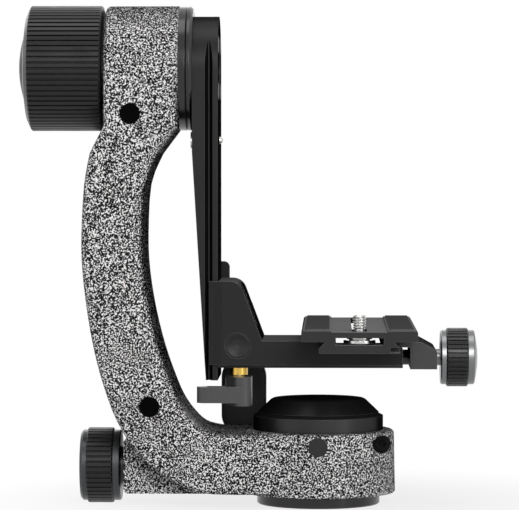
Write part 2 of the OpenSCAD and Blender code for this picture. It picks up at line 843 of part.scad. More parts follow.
// Pan knob: turned core with two rims, neck on the boss side
module pan_knob_core() {
    right = pan_knob_gap_x;
    rim_right = right - pan_neck_len;
    grip_right = rim_right - pan_ring_in;
    grip_left = grip_right - pan_knob_grip;
    rim_r = pan_ring_d / 2;
    core_r = rim_r - 2 * edge;
    color("#c9ccd0") translate([0, 0, pan_knob_z]) x_turn() difference() {
        polygon([
            [0, right], [pan_neck_r, right], [pan_neck_r, rim_right],
            [rim_r - edge, rim_right], [rim_r, rim_right - edge], [rim_r, grip_right],
            [core_r, grip_right], [core_r, grip_left], [rim_r, grip_left],
            [rim_r, grip_left - pan_ring_out + 2 * edge], [rim_r - 2 * edge, grip_left - pan_ring_out],
            [rim_r - 4 * edge, grip_left - pan_ring_out], [rim_r - 5 * edge,
                grip_left - pan_ring_out + edge],
            [0, grip_left - pan_ring_out + edge]
        ]);
        translate([0, grip_left]) square([pan_stud_r + fit, right - grip_left + cut]);
    }
}

module pan_knob_grip() {
    grip_right = pan_knob_gap_x - pan_neck_len - pan_ring_in;
    color("#1a1a1b") translate([0, 0, pan_knob_z])
        ribbed_sleeve(pan_knob_d / 2, pan_ring_d / 2 - 2 * edge + fit, grip_right - pan_knob_grip + fit,
            grip_right - fit, rib_depth_small, pan_knob_ribs, edge);
}

module pan_knob_stud() {
    color("#9fa3a8") translate([0, 0, pan_knob_z])
        x_bar(pan_stud_r, pan_knob_gap_x - pan_neck_len - pan_ring_in - pan_knob_grip + cut,
            pan_boss_left + pan_stud_len);
}

// Tilt knob: core with the neck on the hub side
module tilt_knob_core() {
    color("#121213") translate([0, 0, tilt_z]) x_turn() difference() {
        polygon([
            [0, tilt_grip_left + edge], [tilt_core_r, tilt_grip_left + edge],
            [tilt_core_r, tilt_grip_right], [tilt_knob_r - 2 * edge, tilt_grip_right],
            [tilt_knob_r - 4 * edge, tilt_knob_right], [tilt_neck_r, tilt_knob_right],
            [tilt_neck_r, hub_left - gap], [0, hub_left - gap]
        ]);
        translate([0, tilt_grip_left]) square([tilt_insert_r + fit, hub_left - tilt_grip_left]);
    }
}

// Rubber grip of the tilt knob: straight ribs that run out over a domed end
module tilt_knob_grip() {
    color("#1a1a1b") translate([0, 0, tilt_z]) difference() {
        intersection() {
            translate([tilt_grip_left - tilt_dome_len, 0, 0]) rotate([0, 90, 0])
                linear_extrude(tilt_knob_grip + tilt_dome_len)
                    rib_outline(tilt_knob_r, rib_depth_tilt, tilt_knob_ribs);
            x_turn() polygon([
                [0, tilt_grip_left - tilt_dome_len],
                [tilt_knob_cap_d / 2, tilt_grip_left - tilt_dome_len],
                [tilt_knob_r * tilt_dome_shares[0], tilt_grip_left - tilt_dome_len * tilt_dome_shares[1]],
                [tilt_knob_r - edge, tilt_grip_left], [tilt_knob_r, tilt_grip_left + edge],
                [tilt_knob_r, tilt_grip_right - edge], [tilt_knob_r - edge, tilt_grip_right],
                [0, tilt_grip_right]
            ]);
        }
        x_bar(tilt_core_r + fit, tilt_grip_left + edge - fit, tilt_grip_right + cut);
        x_bar(tilt_knob_cap_d / 2 - 2 * edge, tilt_grip_left - tilt_dome_len - cut, tilt_grip_right);
    }
}

// Domed cap that closes the knob's left end
module tilt_knob_cap() {
    base_x = tilt_grip_left - tilt_dome_len;
    cap_r = tilt_knob_cap_d / 2 - 2 * edge - fit;
    dome_r = (cap_r * cap_r + tilt_cap_len * tilt_cap_len) / (2 * tilt_cap_len);
    color("#161617") translate([0, 0, tilt_z]) {
        intersection() {
            translate([base_x - tilt_cap_len + dome_r, 0, 0]) sphere(dome_r, $fn = 200);
            x_bar(cap_r, base_x - 2 * tilt_cap_len, base_x + fit);
        }
        x_bar(cap_r, base_x, tilt_grip_left + edge - fit);
    }
}

// Threaded insert in the tilt knob
module tilt_knob_insert() {
    color("#c0a25a") translate([0, 0, tilt_z]) x_turn()
        translate([shaft_thread_r + fit, tilt_grip_left + edge])
            square([tilt_insert_r - shaft_thread_r - fit, hub_left - gap - tilt_grip_left - edge]);
}

// Swing arm: rounded bar, tapered at the back, with a V groove along each edge
module swing_arm() {
    color("#232426") difference() {
        translate([swing_left, 0, 0]) rotate([90, 0, 90]) linear_extrude(swing_t) {
            translate([0, tilt_z]) circle(swing_r);
            translate([-swing_r, swing_bottom]) square([swing_w, tilt_z - swing_bottom]);
        }
        y_slab(-swing_w, swing_w) polygon([
            [swing_left - cut, taper_z], [swing_left, taper_z],
            [swing_right - swing_tip_t, swing_bottom], [swing_right - swing_tip_t, swing_bottom - cut],
            [swing_left - cut, swing_bottom - cut]
        ]);
        for (m = [0, 1]) mirror([0, m, 0]) translate([0, 0, swing_bottom - cut])
            linear_extrude(tilt_z + swing_w) polygon([
                [rail_mouth_left, swing_r + cut], [rail_mouth_left, swing_r],
                [rail_apex_x - rail_floor_w / 2, swing_r - rail_groove_depth],
                [rail_apex_x + rail_floor_w / 2, swing_r - rail_groove_depth],
                [rail_mouth_right, swing_r], [rail_mouth_right, swing_r + cut]
            ]);
        translate([0, 0, tilt_z]) x_bar(shaft_spigot_r + fit, swing_left - cut, swing_right + cut);
        swing_screw_places() {
            x_bar(swing_screw_d / 2 + fit, swing_left - cut, swing_right + cut);
            x_bar(swing_screw_head_d / 2 + fit, swing_right - swing_screw_head_t - fit, swing_right + cut);
        }
        translate([0, 0, stop_screw_z]) x_bar(stop_screw_d / 2 + fit, swing_left - cut, swing_right + cut);
    }
}

// The four screws that hold the swing arm to the shaft's flange
module swing_screw_places() {
    for (a = [45 : 90 : 315])
        translate([0, swing_screw_circle_r * cos(a), tilt_z + swing_screw_circle_r * sin(a)]) children();
}

// Shaft: threaded end, bearing seats, flange against the swing arm and spigot in it
module tilt_shaft() {
    thread_x = hub_left + washer_t;
    color("#101012") difference() {
        translate([0, 0, tilt_z]) x_turn() polygon([
            [0, tilt_grip_left + 4 * edge], [shaft_thread_r - edge, tilt_grip_left + 4 * edge],
            [shaft_thread_r, tilt_grip_left + 5 * edge], [shaft_thread_r, thread_x],
            [tilt_shaft_r, thread_x], [tilt_shaft_r, flange_x], [hub_r - edge / 2, flange_x],
            [hub_r, flange_x + edge / 2], [hub_r, swing_left - 2 * edge], [hub_r - 2 * edge, swing_left],
            [shaft_spigot_r, swing_left], [shaft_spigot_r, swing_right - edge], [0, swing_right - edge]
        ]);
        swing_screw_places() x_bar(swing_screw_d / 2 + fit, flange_x + edge, swing_left + cut);
    }
}

module swing_screws() {
    color("#3a3b3d") swing_screw_places() translate([swing_right - swing_screw_head_t, 0, 0])
        rotate([0, 90, 0])
        socket_screw(swing_screw_d, swing_shank_len(), swing_screw_head_d, swing_screw_head_t - fit,
            swing_screw_d / 2);
}

// Length of a screw's shank, from under its head to near the flange's far side
function swing_shank_len() = swing_right - swing_screw_head_t - flange_x - 2 * edge;

// Stop screw through the swing arm: slotted head at the back, ball tip at the front
module stop_screw() {
    color("#b4b7bb") translate([0, 0, stop_screw_z]) difference() {
        union() {
            x_bar(stop_screw_d / 2, swing_left, swing_right - edge);
            x_bar(stop_screw_head_d / 2, swing_left - stop_screw_head_t, swing_left);
            x_bar(stop_ball_r, swing_right - 2 * edge, swing_right + stop_ball_out);
            translate([swing_right + stop_ball_out, 0, 0]) sphere(stop_ball_r, $fn = 48);
        }
        translate([swing_left - stop_screw_head_t - cut, -swing_w, -stop_slot_w / 2])
            cube([cut + stop_slot_w, 2 * swing_w, stop_slot_w]);
    }
}

// Distance in X of a jaw tooth's lip side at depth y, clear of the groove's flank
function tooth_x(y) = rail_mouth_right - (swing_r - y) * tan(rail_flank) - gap / cos(rail_flank);

// Plan of one jaw: wall beside the rail's lip, and the tooth that reaches into the groove
module jaw_plan(out_y, right_x, bevel) {
    near = swing_r + gap;
    tip = swing_r - jaw_over;
    polygon([
        [right_x, out_y], [bevel, out_y], [rail_mouth_right, near + jaw_hook_w],
        [tooth_x(near) - jaw_tooth_w, near + edge / 2], [tooth_x(near) - jaw_tooth_w, near],
        [tooth_x(tip) - jaw_tip_w, tip], [tooth_x(tip), tip], [tooth_x(near), near], [right_x, near]
    ]);
}

// Side outline of the cradle: rail block with a round shoulder and a slope to the platform
module cradle_side() {
    corner_z = cradle_top - cradle_corner_r;
    shoulder_x = cradle_corner_x + cradle_corner_r * cos(cradle_slope);
    shoulder_z = corner_z + cradle_corner_r * sin(cradle_slope);
    polygon([
        [cradle_left, cradle_bottom], [shoulder_x + (shoulder_z - cradle_bottom) * tan(cradle_slope),
            cradle_bottom],
        [shoulder_x, shoulder_z], [cradle_corner_x, cradle_top], [cradle_left, cradle_top]
    ]);
    translate([cradle_corner_x, corner_z]) circle(cradle_corner_r);
}

// Cradle: rail block with its fixed front jaw, slope and platform in one casting
module cradle() {
    lower = cradle_bottom;
    color("#3a3b3d") difference() {
        union() {
            intersection() {
                y_slab(-cradle_half, cradle_half) {
                    cradle_side();
                    translate([cradle_left, cradle_bottom])
                        square([platform_reach - cradle_left, platform_top - cradle_bottom]);
                }
                translate([cradle_left, 0, 0]) rotate([90, 0, 90])
                    linear_extrude(platform_reach - cradle_left) polygon([
                        [-cradle_half, cradle_bottom + cradle_chamfer], [-cradle_half
                            + cradle_chamfer, cradle_bottom],
                        [cradle_half - cradle_chamfer, cradle_bottom], [cradle_half,
                            cradle_bottom + cradle_chamfer],
                        [cradle_half, cradle_top], [-cradle_half, cradle_top]
                    ]);
            }
            translate([0, 0, cradle_bottom + cradle_chamfer]) mirror([0, 1, 0])
                linear_extrude(cradle_top - cradle_bottom - cradle_chamfer)
                    jaw_plan(cradle_half, bevel_right, bevel_right);
        }
        bevel_cut();
        translate([cradle_left - cut, swing_r + gap, cradle_bottom - cut])
            cube([rear_jaw_right + gap - cradle_left + cut, cradle_half, cradle_top]);
        clamp_channel();
        translate([cradle_left - cut, slit_y - slit_w / 2, slit_bottom])
            cube([platform_reach, slit_w, cradle_top]);
        translate([cross_bolt_x, 0, cross_bolt_z]) {
            y_bar(cross_bolt_d / 2 + fit, -cradle_half - cut, cradle_half + cut);
            y_bar(bolt_cap_d / 2 + fit, -cradle_half - cut, -cradle_half + bolt_cap_t);
        }
        translate([lock_x, lock_y, lower - cut])
            cylinder(r = lock_stud_r + fit, h = lock_stud_top + edge - lower + cut);
        translate([0, 0, clamp_z]) x_bar(clamp_screw_r + fit, clamp_screw_start, platform_reach + cut);
        guide_pin_places() x_bar(guide_pin_r + fit, guide_pin_start, platform_reach + cut);
    }
}

// Takes the square corner off the rail block, down to the front jaw's bevel
module bevel_cut() {
    reach = rail_mouth_right - cradle_left;
    bevel_y = cradle_half - (cradle_half - swing_r - gap - jaw_hook_w) * (bevel_right - cradle_left)
        / (bevel_right - rail_mouth_right);
    translate([0, 0, cradle_bottom - cut]) linear_extrude(cradle_top) polygon([
        [bevel_right, -cradle_half], [cradle_left, -bevel_y], [cradle_left + reach, -bevel_y],
        [cradle_left + reach, -cradle_half - cut], [bevel_right, -cradle_half - cut]
    ]);
}

// Room for the plate's dovetail, open to the right for the moving jaw
module clamp_channel() {
    foot_z = dovetail_z + dovetail_foot_h + flank_gap - gap;
    y_slab(-cradle_half - cut, cradle_half + cut) polygon([
        [channel_left, channel_z], [platform_reach + cut, channel_z], [platform_reach + cut,
            platform_top + cut],
        [channel_left + platform_top - foot_z, platform_top + cut],
        [channel_left + platform_top - foot_z, platform_top], [channel_left, foot_z]
    ]);
}

module guide_pin_places() {
    for (y = [-guide_pin_y, guide_pin_y]) translate([0, y, clamp_z]) children();
}

// Rear jaw: plate behind the rail block, with a finger up the rail
module rear_jaw() {
    hook_left = tooth_x(swing_r + gap) - jaw_tooth_w;
    finger_right = hook_left + rear_jaw_finger;
    color("#1f2022") difference() {
        union() {
            intersection() {
                y_slab(swing_r - jaw_over, rear_jaw_back) rear_jaw_side(hook_left, finger_right);
                translate([0, 0, rear_jaw_z]) linear_extrude(rear_jaw_top - rear_jaw_z)
                    jaw_plan(rear_jaw_back, rear_jaw_right, bevel_right);
            }
        }
        translate([cross_bolt_x, 0, cross_bolt_z]) y_bar(cross_bolt_d / 2 + fit, 0, rear_jaw_back + cut);
    }
}

module rear_jaw_side(left, finger_right) {
    polygon([
        [left, rear_jaw_z], [rear_jaw_right, rear_jaw_z], [rear_jaw_right, rear_jaw_shoulder_z],
        [finger_right, rear_jaw_shoulder_z + rear_jaw_right - finger_right],
        [finger_right, rear_jaw_top - rear_jaw_round], [finger_right - rear_jaw_round,
            rear_jaw_top], [left, rear_jaw_top]
    ]);
    translate([finger_right - rear_jaw_round, rear_jaw_top - rear_jaw_round]) circle(rear_jaw_round);
}

// Cross bolt that draws the two jaws together, under the clamp lever's hub
module cross_bolt() {
    color("#9fa3a8") translate([cross_bolt_x, 0, cross_bolt_z])
        y_bar(cross_bolt_d / 2, -cradle_half + bolt_cap_t, lever_back + gap + bolt_nut_t);
}

// Dished cap on the bolt's front end
module bolt_cap() {
    cap_r = bolt_cap_d / 2;
    color("#2a2b2d") translate([cross_bolt_x, -cradle_half, cross_bolt_z]) rotate([-90, 0, 0])
        rotate_extrude() polygon([
            [0, bolt_cap_sink], [cap_r / 2, bolt_cap_sink - edge / 2], [cap_r - edge, 0],
            [cap_r, edge / 2], [cap_r, bolt_cap_t], [0, bolt_cap_t]
        ]);
}

module bolt_washer() {
    color("#6d7075") translate([cross_bolt_x, rear_jaw_back, cross_bolt_z]) rotate([-90, 0, 0])
        difference() {
        cylinder(r = bolt_washer_r, h = bolt_washer_t);
        translate([0, 0, -cut]) cylinder(d = cross_bolt_d + 2 * fit, h = bolt_washer_t + 2 * cut);
    }
}

module bolt_nut() {
    color("#2a2b2d") translate([cross_bolt_x, lever_back + gap, cross_bolt_z]) rotate([-90, 0, 0])
        difference() {
        cylinder(d = bolt_nut_d, h = bolt_nut_t, $fn = 6);
        translate([0, 0, -cut]) cylinder(d = cross_bolt_d + 2 * fit, h = bolt_nut_t + 2 * cut);
    }
}

// Outline of a bar between two circles, tangent to both
module link(p, rp, q, rq) {
    run = q - p;
    len = norm(run);
    lean = acos((rp - rq) / len);
    way = atan2(run[1], run[0]);
    polygon([
        p + rp * [cos(way + lean), sin(way + lean)], p + rp * [cos(way - lean), sin(way - lean)],
        q + rq * [cos(way - lean), sin(way - lean)], q + rq * [cos(way + lean), sin(way + lean)]
    ]);
    translate(p) circle(rp);
    translate(q) circle(rq);
}

// Clamp lever: a paddle that hangs behind the cradle, under a smaller hub
module clamp_lever() {
    color("#161617") translate([cross_bolt_x, 0, cross_bolt_z]) difference() {
        union() {
            y_slab(lever_front + clamp_lever_round, lever_back - clamp_lever_round) clamp_lever_side(0);
            y_slab(lever_front, lever_back) clamp_lever_side(clamp_lever_round);
        }
        y_bar(cross_bolt_d / 2 + fit, lever_front - cut, lever_back + cut);
    }
}

// Side outline of the clamp lever, drawn in by the given amount
module clamp_lever_side(inset) {
    hub_r2 = clamp_lever_hub_r - inset;
    length = clamp_lever_len - clamp_lever_neck - 2 * inset;
    translate([clamp_lever_out - clamp_lever_w / 2 + inset, inset - clamp_lever_len])
        round_rect(clamp_lever_w - 2 * inset, length, clamp_lever_tip_r - inset);
    link([0, 0], hub_r2, [clamp_lever_out, -clamp_lever_root], hub_r2);
}

// Lock lever: hub, elbow and handle, bent to pass in front of the swing arm
module lock_lever() {
    elbow = [lock_x + lock_hub_r - lock_elbow_r, lock_handle_y];
    color("#1f2022") difference() {
        union() {
            translate([0, 0, lock_bottom]) linear_extrude(lock_hub_h)
                link([lock_x, lock_y], lock_hub_r, elbow, lock_elbow_r);
            translate([0, 0, lock_handle_z]) linear_extrude(lock_handle_h)
                link(elbow, lock_elbow_r, [lock_tip_x, lock_handle_y], lock_tip_r);
        }
        translate([lock_x, lock_y, lock_bottom + edge]) cylinder(r = lock_stud_r + fit, h = lock_hub_h);
    }
}

module lock_stud() {
    color("#9fa3a8") translate([lock_x, lock_y, lock_bottom + 2 * edge])
        cylinder(r = lock_stud_r, h = lock_stud_top - lock_bottom - 2 * edge);
}

module lock_collar() {
    color("#d8b767") translate([lock_x, lock_y, lock_collar_z]) difference() {
        cylinder(d = lock_collar_d, h = cradle_bottom - lock_collar_z);
        translate([0, 0, -cut]) cylinder(r = lock_stud_r + fit, h = cradle_bottom);
    }
}

// Fixed threaded rod of the clamp, from the platform out through jaw and knob
module clamp_screw() {
    color("#9fa3a8") translate([0, 0, clamp_z]) x_bar(clamp_screw_r, clamp_screw_start, clamp_screw_end);
}

module guide_pins() {
    color("#9fa3a8") guide_pin_places() x_bar(guide_pin_r, guide_pin_start, jaw_right - guide_pin_cover);
}

// Moving jaw: block with a sloped back and a lip over the plate's dovetail
module moving_jaw() {
    lip_z = jaw_top - jaw_lip_t;
    flank_z = dovetail_z + dovetail_foot_h + flank_gap - gap;
    slope_x = jaw_right - jaw_t * jaw_slope_share;
    slope = atan(jaw_slope_drop / (jaw_right - slope_x));
    round_x = jaw_right - jaw_round;
    touch_x = round_x + jaw_round * sin(slope);
    touch_z = jaw_top - (touch_x - slope_x) * tan(slope);
    round_z = touch_z - jaw_round * cos(slope);
    color("#4c4d50") difference() {
        y_slab(-cradle_half, cradle_half) {
            polygon([
                [jaw_left, jaw_bottom], [jaw_right, jaw_bottom], [jaw_right, round_z], [touch_x, touch_z],
                [slope_x, jaw_top], [jaw_lip_left - (jaw_top - flank_z), jaw_top],
                [jaw_lip_left, flank_z], [jaw_lip_left, lip_z], [jaw_left, lip_z]
            ]);
            translate([round_x, round_z]) circle(jaw_round);
        }
        translate([0, 0, clamp_z]) x_bar(clamp_screw_r + gap, jaw_left - cut, jaw_right + cut);
        guide_pin_places() x_bar(guide_pin_r + fit, jaw_left - cut, jaw_right - guide_pin_cover + edge);
    }
}

// Clamp knob: stem, inner rim and the core that carries grip and cap
module clamp_knob_core() {
    rim_left = clamp_knob_gap_x + clamp_stem_len - edge;
    grip_left = rim_left + clamp_ring_in;
    grip_right = grip_left + clamp_knob_grip;
    rim_r = clamp_ring_d / 2;
    color("#c9ccd0") translate([0, 0, clamp_z]) x_turn() polygon([
        [clamp_screw_r + fit, clamp_knob_gap_x], [clamp_stem_r, clamp_knob_gap_x], [clamp_stem_r, rim_left],
        [rim_r - edge, rim_left], [rim_r, rim_left + edge], [rim_r, grip_left],
        [rim_r - 2 * edge, grip_left], [rim_r - 2 * edge, grip_right], [clamp_screw_r + fit, grip_right]
    ]);
}

module clamp_knob_grip() {
    grip_left = clamp_knob_gap_x + clamp_stem_len - edge + clamp_ring_in;
    color("#1a1a1b") translate([0, 0, clamp_z])
        ribbed_sleeve(clamp_knob_d / 2, clamp_ring_d / 2 - 2 * edge + fit, grip_left + fit,
            grip_left + clamp_knob_grip - fit, rib_depth_small, clamp_knob_ribs, edge);
}

// End cap of the clamp knob: rim and shallow dome, hollow over the rod's travel
module clamp_knob_cap() {
    base_x = clamp_knob_gap_x + clamp_stem_len - edge + clamp_ring_in + clamp_knob_grip;
    face_x = base_x + clamp_ring_out;
    rim_r = clamp_ring_d / 2;
    color("#c9ccd0") translate([0, 0, clamp_z]) x_turn() polygon([
        [0, face_x - edge], [0, face_x + clamp_dome_h], [rim_r / 3, face_x + clamp_dome_h - edge / 4],
        [rim_r * 2 / 3, face_x + clamp_dome_h / 2], [rim_r - edge, face_x],
        [rim_r, face_x - edge], [rim_r, base_x], [clamp_screw_r + gap, base_x], [clamp_screw_r + gap,
            face_x - edge]
    ]);
}

// Quick-release plate: flange over a dovetail, with window, slot, recess and pad seats
module plate() {
    neck = dovetail_neck_w / 2;
    foot = dovetail_w / 2;
    flank_z = dovetail_z + dovetail_foot_h;
    color("#474849") translate([0, plate_middle_y, 0]) difference() {
        y_slab(-plate_len / 2, plate_len / 2) translate([plate_x, 0]) polygon([
            [-foot, dovetail_z], [foot, dovetail_z], [foot, flank_z], [neck, flank_z + dovetail_flank],
            [neck, flange_z], [plate_half, flange_z], [plate_half, plate_top - plate_edge],
            [plate_half - plate_edge, plate_top], [-plate_half + plate_edge, plate_top],
            [-plate_half, plate_top - plate_edge], [-plate_half, flange_z], [-neck, flange_z],
            [-neck, flank_z + dovetail_flank], [-foot, flank_z]
        ]);
        translate([plate_x - window_w / 2, -plate_len, window_low])
            cube([window_w, 2 * plate_len, window_high - window_low]);
        translate([plate_x - plate_recess_w / 2, -plate_len, plate_top - plate_recess])
            cube([plate_recess_w, 2 * plate_len, plate_top]);
        translate([plate_x, 0, window_high - cut]) linear_extrude(plate_top)
            slot(screw_slot_w, screw_slot_len);
        translate([plate_x, 0, dovetail_z - cut]) linear_extrude(window_low - dovetail_z + 2 * cut)
            slot(screw_hatch_w, screw_hatch_len);
        pad_places() translate([0, 0, plate_top - pad_sink]) linear_extrude(plate_top) pad_outline(fit);
        translate([plate_x + foot - notch_w, -plate_len / 2 - cut, dovetail_z + notch_lift])
            cube([notch_w + cut, notch_len + cut, notch_h]);
    }
}

// Outline of a slot along Y with round ends
module slot(w, len) {
    for (y = [-1, 1]) translate([0, y * (len - w) / 2]) circle(d = w);
    translate([-w / 2, (w - len) / 2]) square([w, len - w]);
}

module pad_places() {
    for (side = [-1, 1]) translate([plate_x + side * (plate_half - pad_margin - pad_w / 2), 0, 0])
        children();
}

module pad_outline(grow) {
    translate([-pad_w / 2 - grow, -pad_len / 2 - grow])
        round_rect(pad_w + 2 * grow, pad_len + 2 * grow, pad_round);
}

module plate_pads() {
    color("#1d1d1d") pad_places() translate([0, plate_middle_y, plate_top - pad_sink])
        linear_extrude(pad_sink + pad_proud) pad_outline(0);
}

// Washer that slides in the plate's window with the camera screw
module screw_washer() {
    color("#b4b7bb") translate([plate_x, screw_y, window_high - gap - screw_washer_t]) difference() {
        cylinder(d = screw_washer_d, h = screw_washer_t);
        translate([0, 0, -cut]) cylinder(d = camera_thread_d + gap, h = screw_washer_t + 2 * cut);
    }
}

// Camera screw: coin-slotted head in the window, neck in the slot, thread above the pads
module camera_screw() {
    head_top = window_high - 2 * gap - screw_washer_t;
    head_z = head_top - camera_screw_head_t;
    thread_z = plate_top + pad_proud + camera_thread_lift;
    color("#c9ccd0") difference() {
        translate([plate_x, screw_y, 0]) union() {
            translate([0, 0, head_z]) cylinder(d = camera_screw_head_d, h = camera_screw_head_t);
            translate([0, 0, head_top - fit])
                cylinder(r = camera_neck_r, h = thread_z - head_top + 2 * fit);
            translate([0, 0, thread_z])
                cylinder(d = camera_thread_d, h = camera_screw_top - edge - thread_z);
            translate([0, 0, camera_screw_top - edge])
                cylinder(d1 = camera_thread_d, d2 = camera_thread_d - 2 * edge, h = edge);
        }
        translate([plate_x - screw_hatch_w, screw_y - stop_slot_w / 2, head_z - cut])
            cube([2 * screw_hatch_w, stop_slot_w, cut + stop_slot_w / 2]);
        translate([0, screw_y, head_z + camera_screw_head_t / 2]) ring_pins(ring_pin_r + fit, -fit);
    }
}

// Folding ring on the camera screw's head: a half loop with a pin at each end
module screw_ring() {
    z = window_high - 2 * gap - screw_washer_t - camera_screw_head_t / 2;
    color("#d9dbde") translate([0, screw_y, z]) {
        translate([plate_x, 0, -ring_wire / 2]) linear_extrude(ring_wire) difference() {
            union() {
                circle(ring_reach);
                translate([-ring_reach, 0]) square([2 * ring_reach, ring_wire / 2]);
            }
            circle(ring_reach - ring_wire);
            translate([-ring_reach - cut, ring_wire / 2])
                square([2 * (ring_reach + cut), ring_reach + cut]);
            translate([ring_wire - ring_reach, 0]) square([2 * (ring_reach - ring_wire), ring_wire]);
        }
        ring_pins(ring_pin_r, fit);
    }
}

// The ring's two pins, from the loop into the head
module ring_pins(r, back) {
    for (side = [-1, 1]) {
        a = plate_x + side * (camera_screw_head_d / 2 - 2 * ring_wire + back);
        b = plate_x + side * (ring_reach - ring_wire / 2);
        x_bar(r, min(a, b), max(a, b));
    }
}

foot_ring();
spindle();
tripod_bush();
foot_screws();
spindle_nut();
j_arm();
housing_cover();
pan_bearings();
front_plug();
clamp_cap_screw();
arm_plugs();
bearing_cover();
tilt_bearings();
thrust_washer();
brake_pin();
pan_knob_core();
pan_knob_grip();
pan_knob_stud();
tilt_knob_core();
tilt_knob_grip();
tilt_knob_cap();
tilt_knob_insert();
swing_arm();
tilt_shaft();
swing_screws();
stop_screw();
cradle();
rear_jaw();
cross_bolt();
bolt_cap();
bolt_nut();
bolt_washer();
lock_collar();
clamp_screw();
guide_pins();
clamp_lever();
lock_lever();
lock_stud();
moving_jaw();
clamp_knob_core();
clamp_knob_grip();
clamp_knob_cap();
plate();
plate_pads();
screw_washer();
camera_screw();
screw_ring();
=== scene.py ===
# %% [markdown]
# # A gimbal tripod head, dressed for its portrait
#
# The real object is a gimbal head: a cast arm shaped like a C stands on a turning foot,
# and a swinging arm hangs from its top with a cradle and a long plate for a heavy lens.
# The solids come ready from the CAD frame, so this lesson is about finishes, small
# turned and threaded details, light and a camera. We start by loading the frame, because
# every later piece takes its place from it.

import math

import bmesh
import bpy
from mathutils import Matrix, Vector


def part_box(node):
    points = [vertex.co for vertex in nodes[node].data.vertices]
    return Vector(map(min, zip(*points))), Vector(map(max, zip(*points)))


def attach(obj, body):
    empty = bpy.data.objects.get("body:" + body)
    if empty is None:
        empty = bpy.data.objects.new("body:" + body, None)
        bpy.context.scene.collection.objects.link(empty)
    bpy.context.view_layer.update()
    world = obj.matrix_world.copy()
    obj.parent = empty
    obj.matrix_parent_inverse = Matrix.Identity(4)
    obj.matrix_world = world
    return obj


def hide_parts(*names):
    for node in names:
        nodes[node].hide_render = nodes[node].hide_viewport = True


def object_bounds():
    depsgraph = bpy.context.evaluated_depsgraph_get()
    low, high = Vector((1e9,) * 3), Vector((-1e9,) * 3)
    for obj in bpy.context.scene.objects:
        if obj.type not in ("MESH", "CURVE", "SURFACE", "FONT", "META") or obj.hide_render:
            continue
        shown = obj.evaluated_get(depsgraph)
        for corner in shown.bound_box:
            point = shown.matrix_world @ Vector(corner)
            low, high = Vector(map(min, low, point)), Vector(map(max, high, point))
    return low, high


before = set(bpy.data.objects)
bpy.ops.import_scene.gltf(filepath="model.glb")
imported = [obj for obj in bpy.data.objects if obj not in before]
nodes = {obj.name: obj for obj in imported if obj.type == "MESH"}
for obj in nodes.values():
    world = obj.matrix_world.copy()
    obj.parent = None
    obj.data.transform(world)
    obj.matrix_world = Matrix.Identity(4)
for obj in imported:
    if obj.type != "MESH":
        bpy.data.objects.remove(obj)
cad_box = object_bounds()
MM = 0.001
print(len(nodes), "solids loaded, box", [round(c / MM, 1) for c in cad_box[1] - cad_box[0]], "mm")

# %% [markdown]
# ## The camera
#
# The photograph was taken from about a metre and a half, level with the middle of the
# swinging arm, with a long lens. A long lens keeps the knobs' rims nearly edge on. The
# camera could keep its back upright and shift the lens, but the tilt is under two
# degrees, so we simply aim it at the middle of the picture.

# %% Camera
CAMERA_PLACE = Vector((5.7, -1514, 164.8)) * MM
PICTURE_MIDDLE = Vector((-29, 0, 122.2)) * MM
PICTURE_WIDTH = 255.7 * MM  # what the picture takes in, across the object's middle
SENSOR_WIDTH = 36  # mm, the width that lens lengths are quoted for
NEAREST, FARTHEST = 0.05, 20  # metres that the camera sees

camera_data = bpy.data.cameras.new("camera")
camera_data.sensor_fit = "HORIZONTAL"
camera_data.sensor_width = SENSOR_WIDTH
camera_data.lens = SENSOR_WIDTH * (PICTURE_MIDDLE - CAMERA_PLACE).length / PICTURE_WIDTH
camera_data.clip_start, camera_data.clip_end = NEAREST, FARTHEST
camera = bpy.data.objects.new("camera", camera_data)
camera.location = CAMERA_PLACE
camera.rotation_euler = (PICTURE_MIDDLE - CAMERA_PLACE).to_track_quat("-Z", "Y").to_euler()
bpy.context.scene.collection.objects.link(camera)
bpy.context.scene.camera = camera
print("lens", round(camera_data.lens, 1), "mm")

# %% [markdown]
# ## Small helpers for materials
#
# Colours are written as the hex values that a screen shows, and turned into the linear
# numbers that a renderer works with. One function adds a node to a material, with its
# settings and its links, so each finish reads as a short recipe. The other helpers hold
# what several finishes share: which way a face is turned, and how wide a pattern's cell is.


# %% Material helpers
NOISE_LOW, NOISE_HIGH = 0.3, 0.7  # most of a noise lies between these
ALONG_X, ALONG_Y, UP = (1, 0, 0), (0, 1, 0), (0, 0, 1)


def linear(hex_colour):
    """#rrggbb as a screen shows it, turned to linear light, with full opacity."""
    shares = [int(hex_colour[i : i + 2], 16) / 255 for i in (1, 3, 5)]
    return (
        *[s / 12.92 if s <= 0.04045 else ((s + 0.055) / 1.055) ** 2.4 for s in shares],
        1,
    )


def add(material, kind, sockets=None, stops=(), **settings):
    """Adds one node: sockets are inputs as values or links, settings its properties.

    A colour ramp also takes its stops, each a place from 0 to 1 and a hex colour.
    """
    tree = material.node_tree
    node = tree.nodes.new("ShaderNode" + kind)
    for name, value in settings.items():
        setattr(node, name, value)
    for name, value in (sockets or {}).items():
        if isinstance(value, bpy.types.NodeSocket):
            tree.links.new(value, node.inputs[name])
        else:
            node.inputs[name].default_value = value
    for place, (position, hex_colour) in enumerate(stops):
        if place >= len(node.color_ramp.elements):
            node.color_ramp.elements.new(position)
        element = node.color_ramp.elements[place]
        element.position, element.color = position, linear(hex_colour)
    return node


def new_material(name):
    """An empty node material with its output and the place on the object to read."""
    material = bpy.data.materials.new(name)
    material.use_nodes = True
    material.node_tree.nodes.clear()
    out = add(material, "OutputMaterial")
    place = add(material, "TexCoord").outputs["Object"]
    return material, out, place


def add_link(material, shader, out):
    """The shader's light goes to the material's output."""
    material.node_tree.links.new(shader.outputs[0], out.inputs["Surface"])


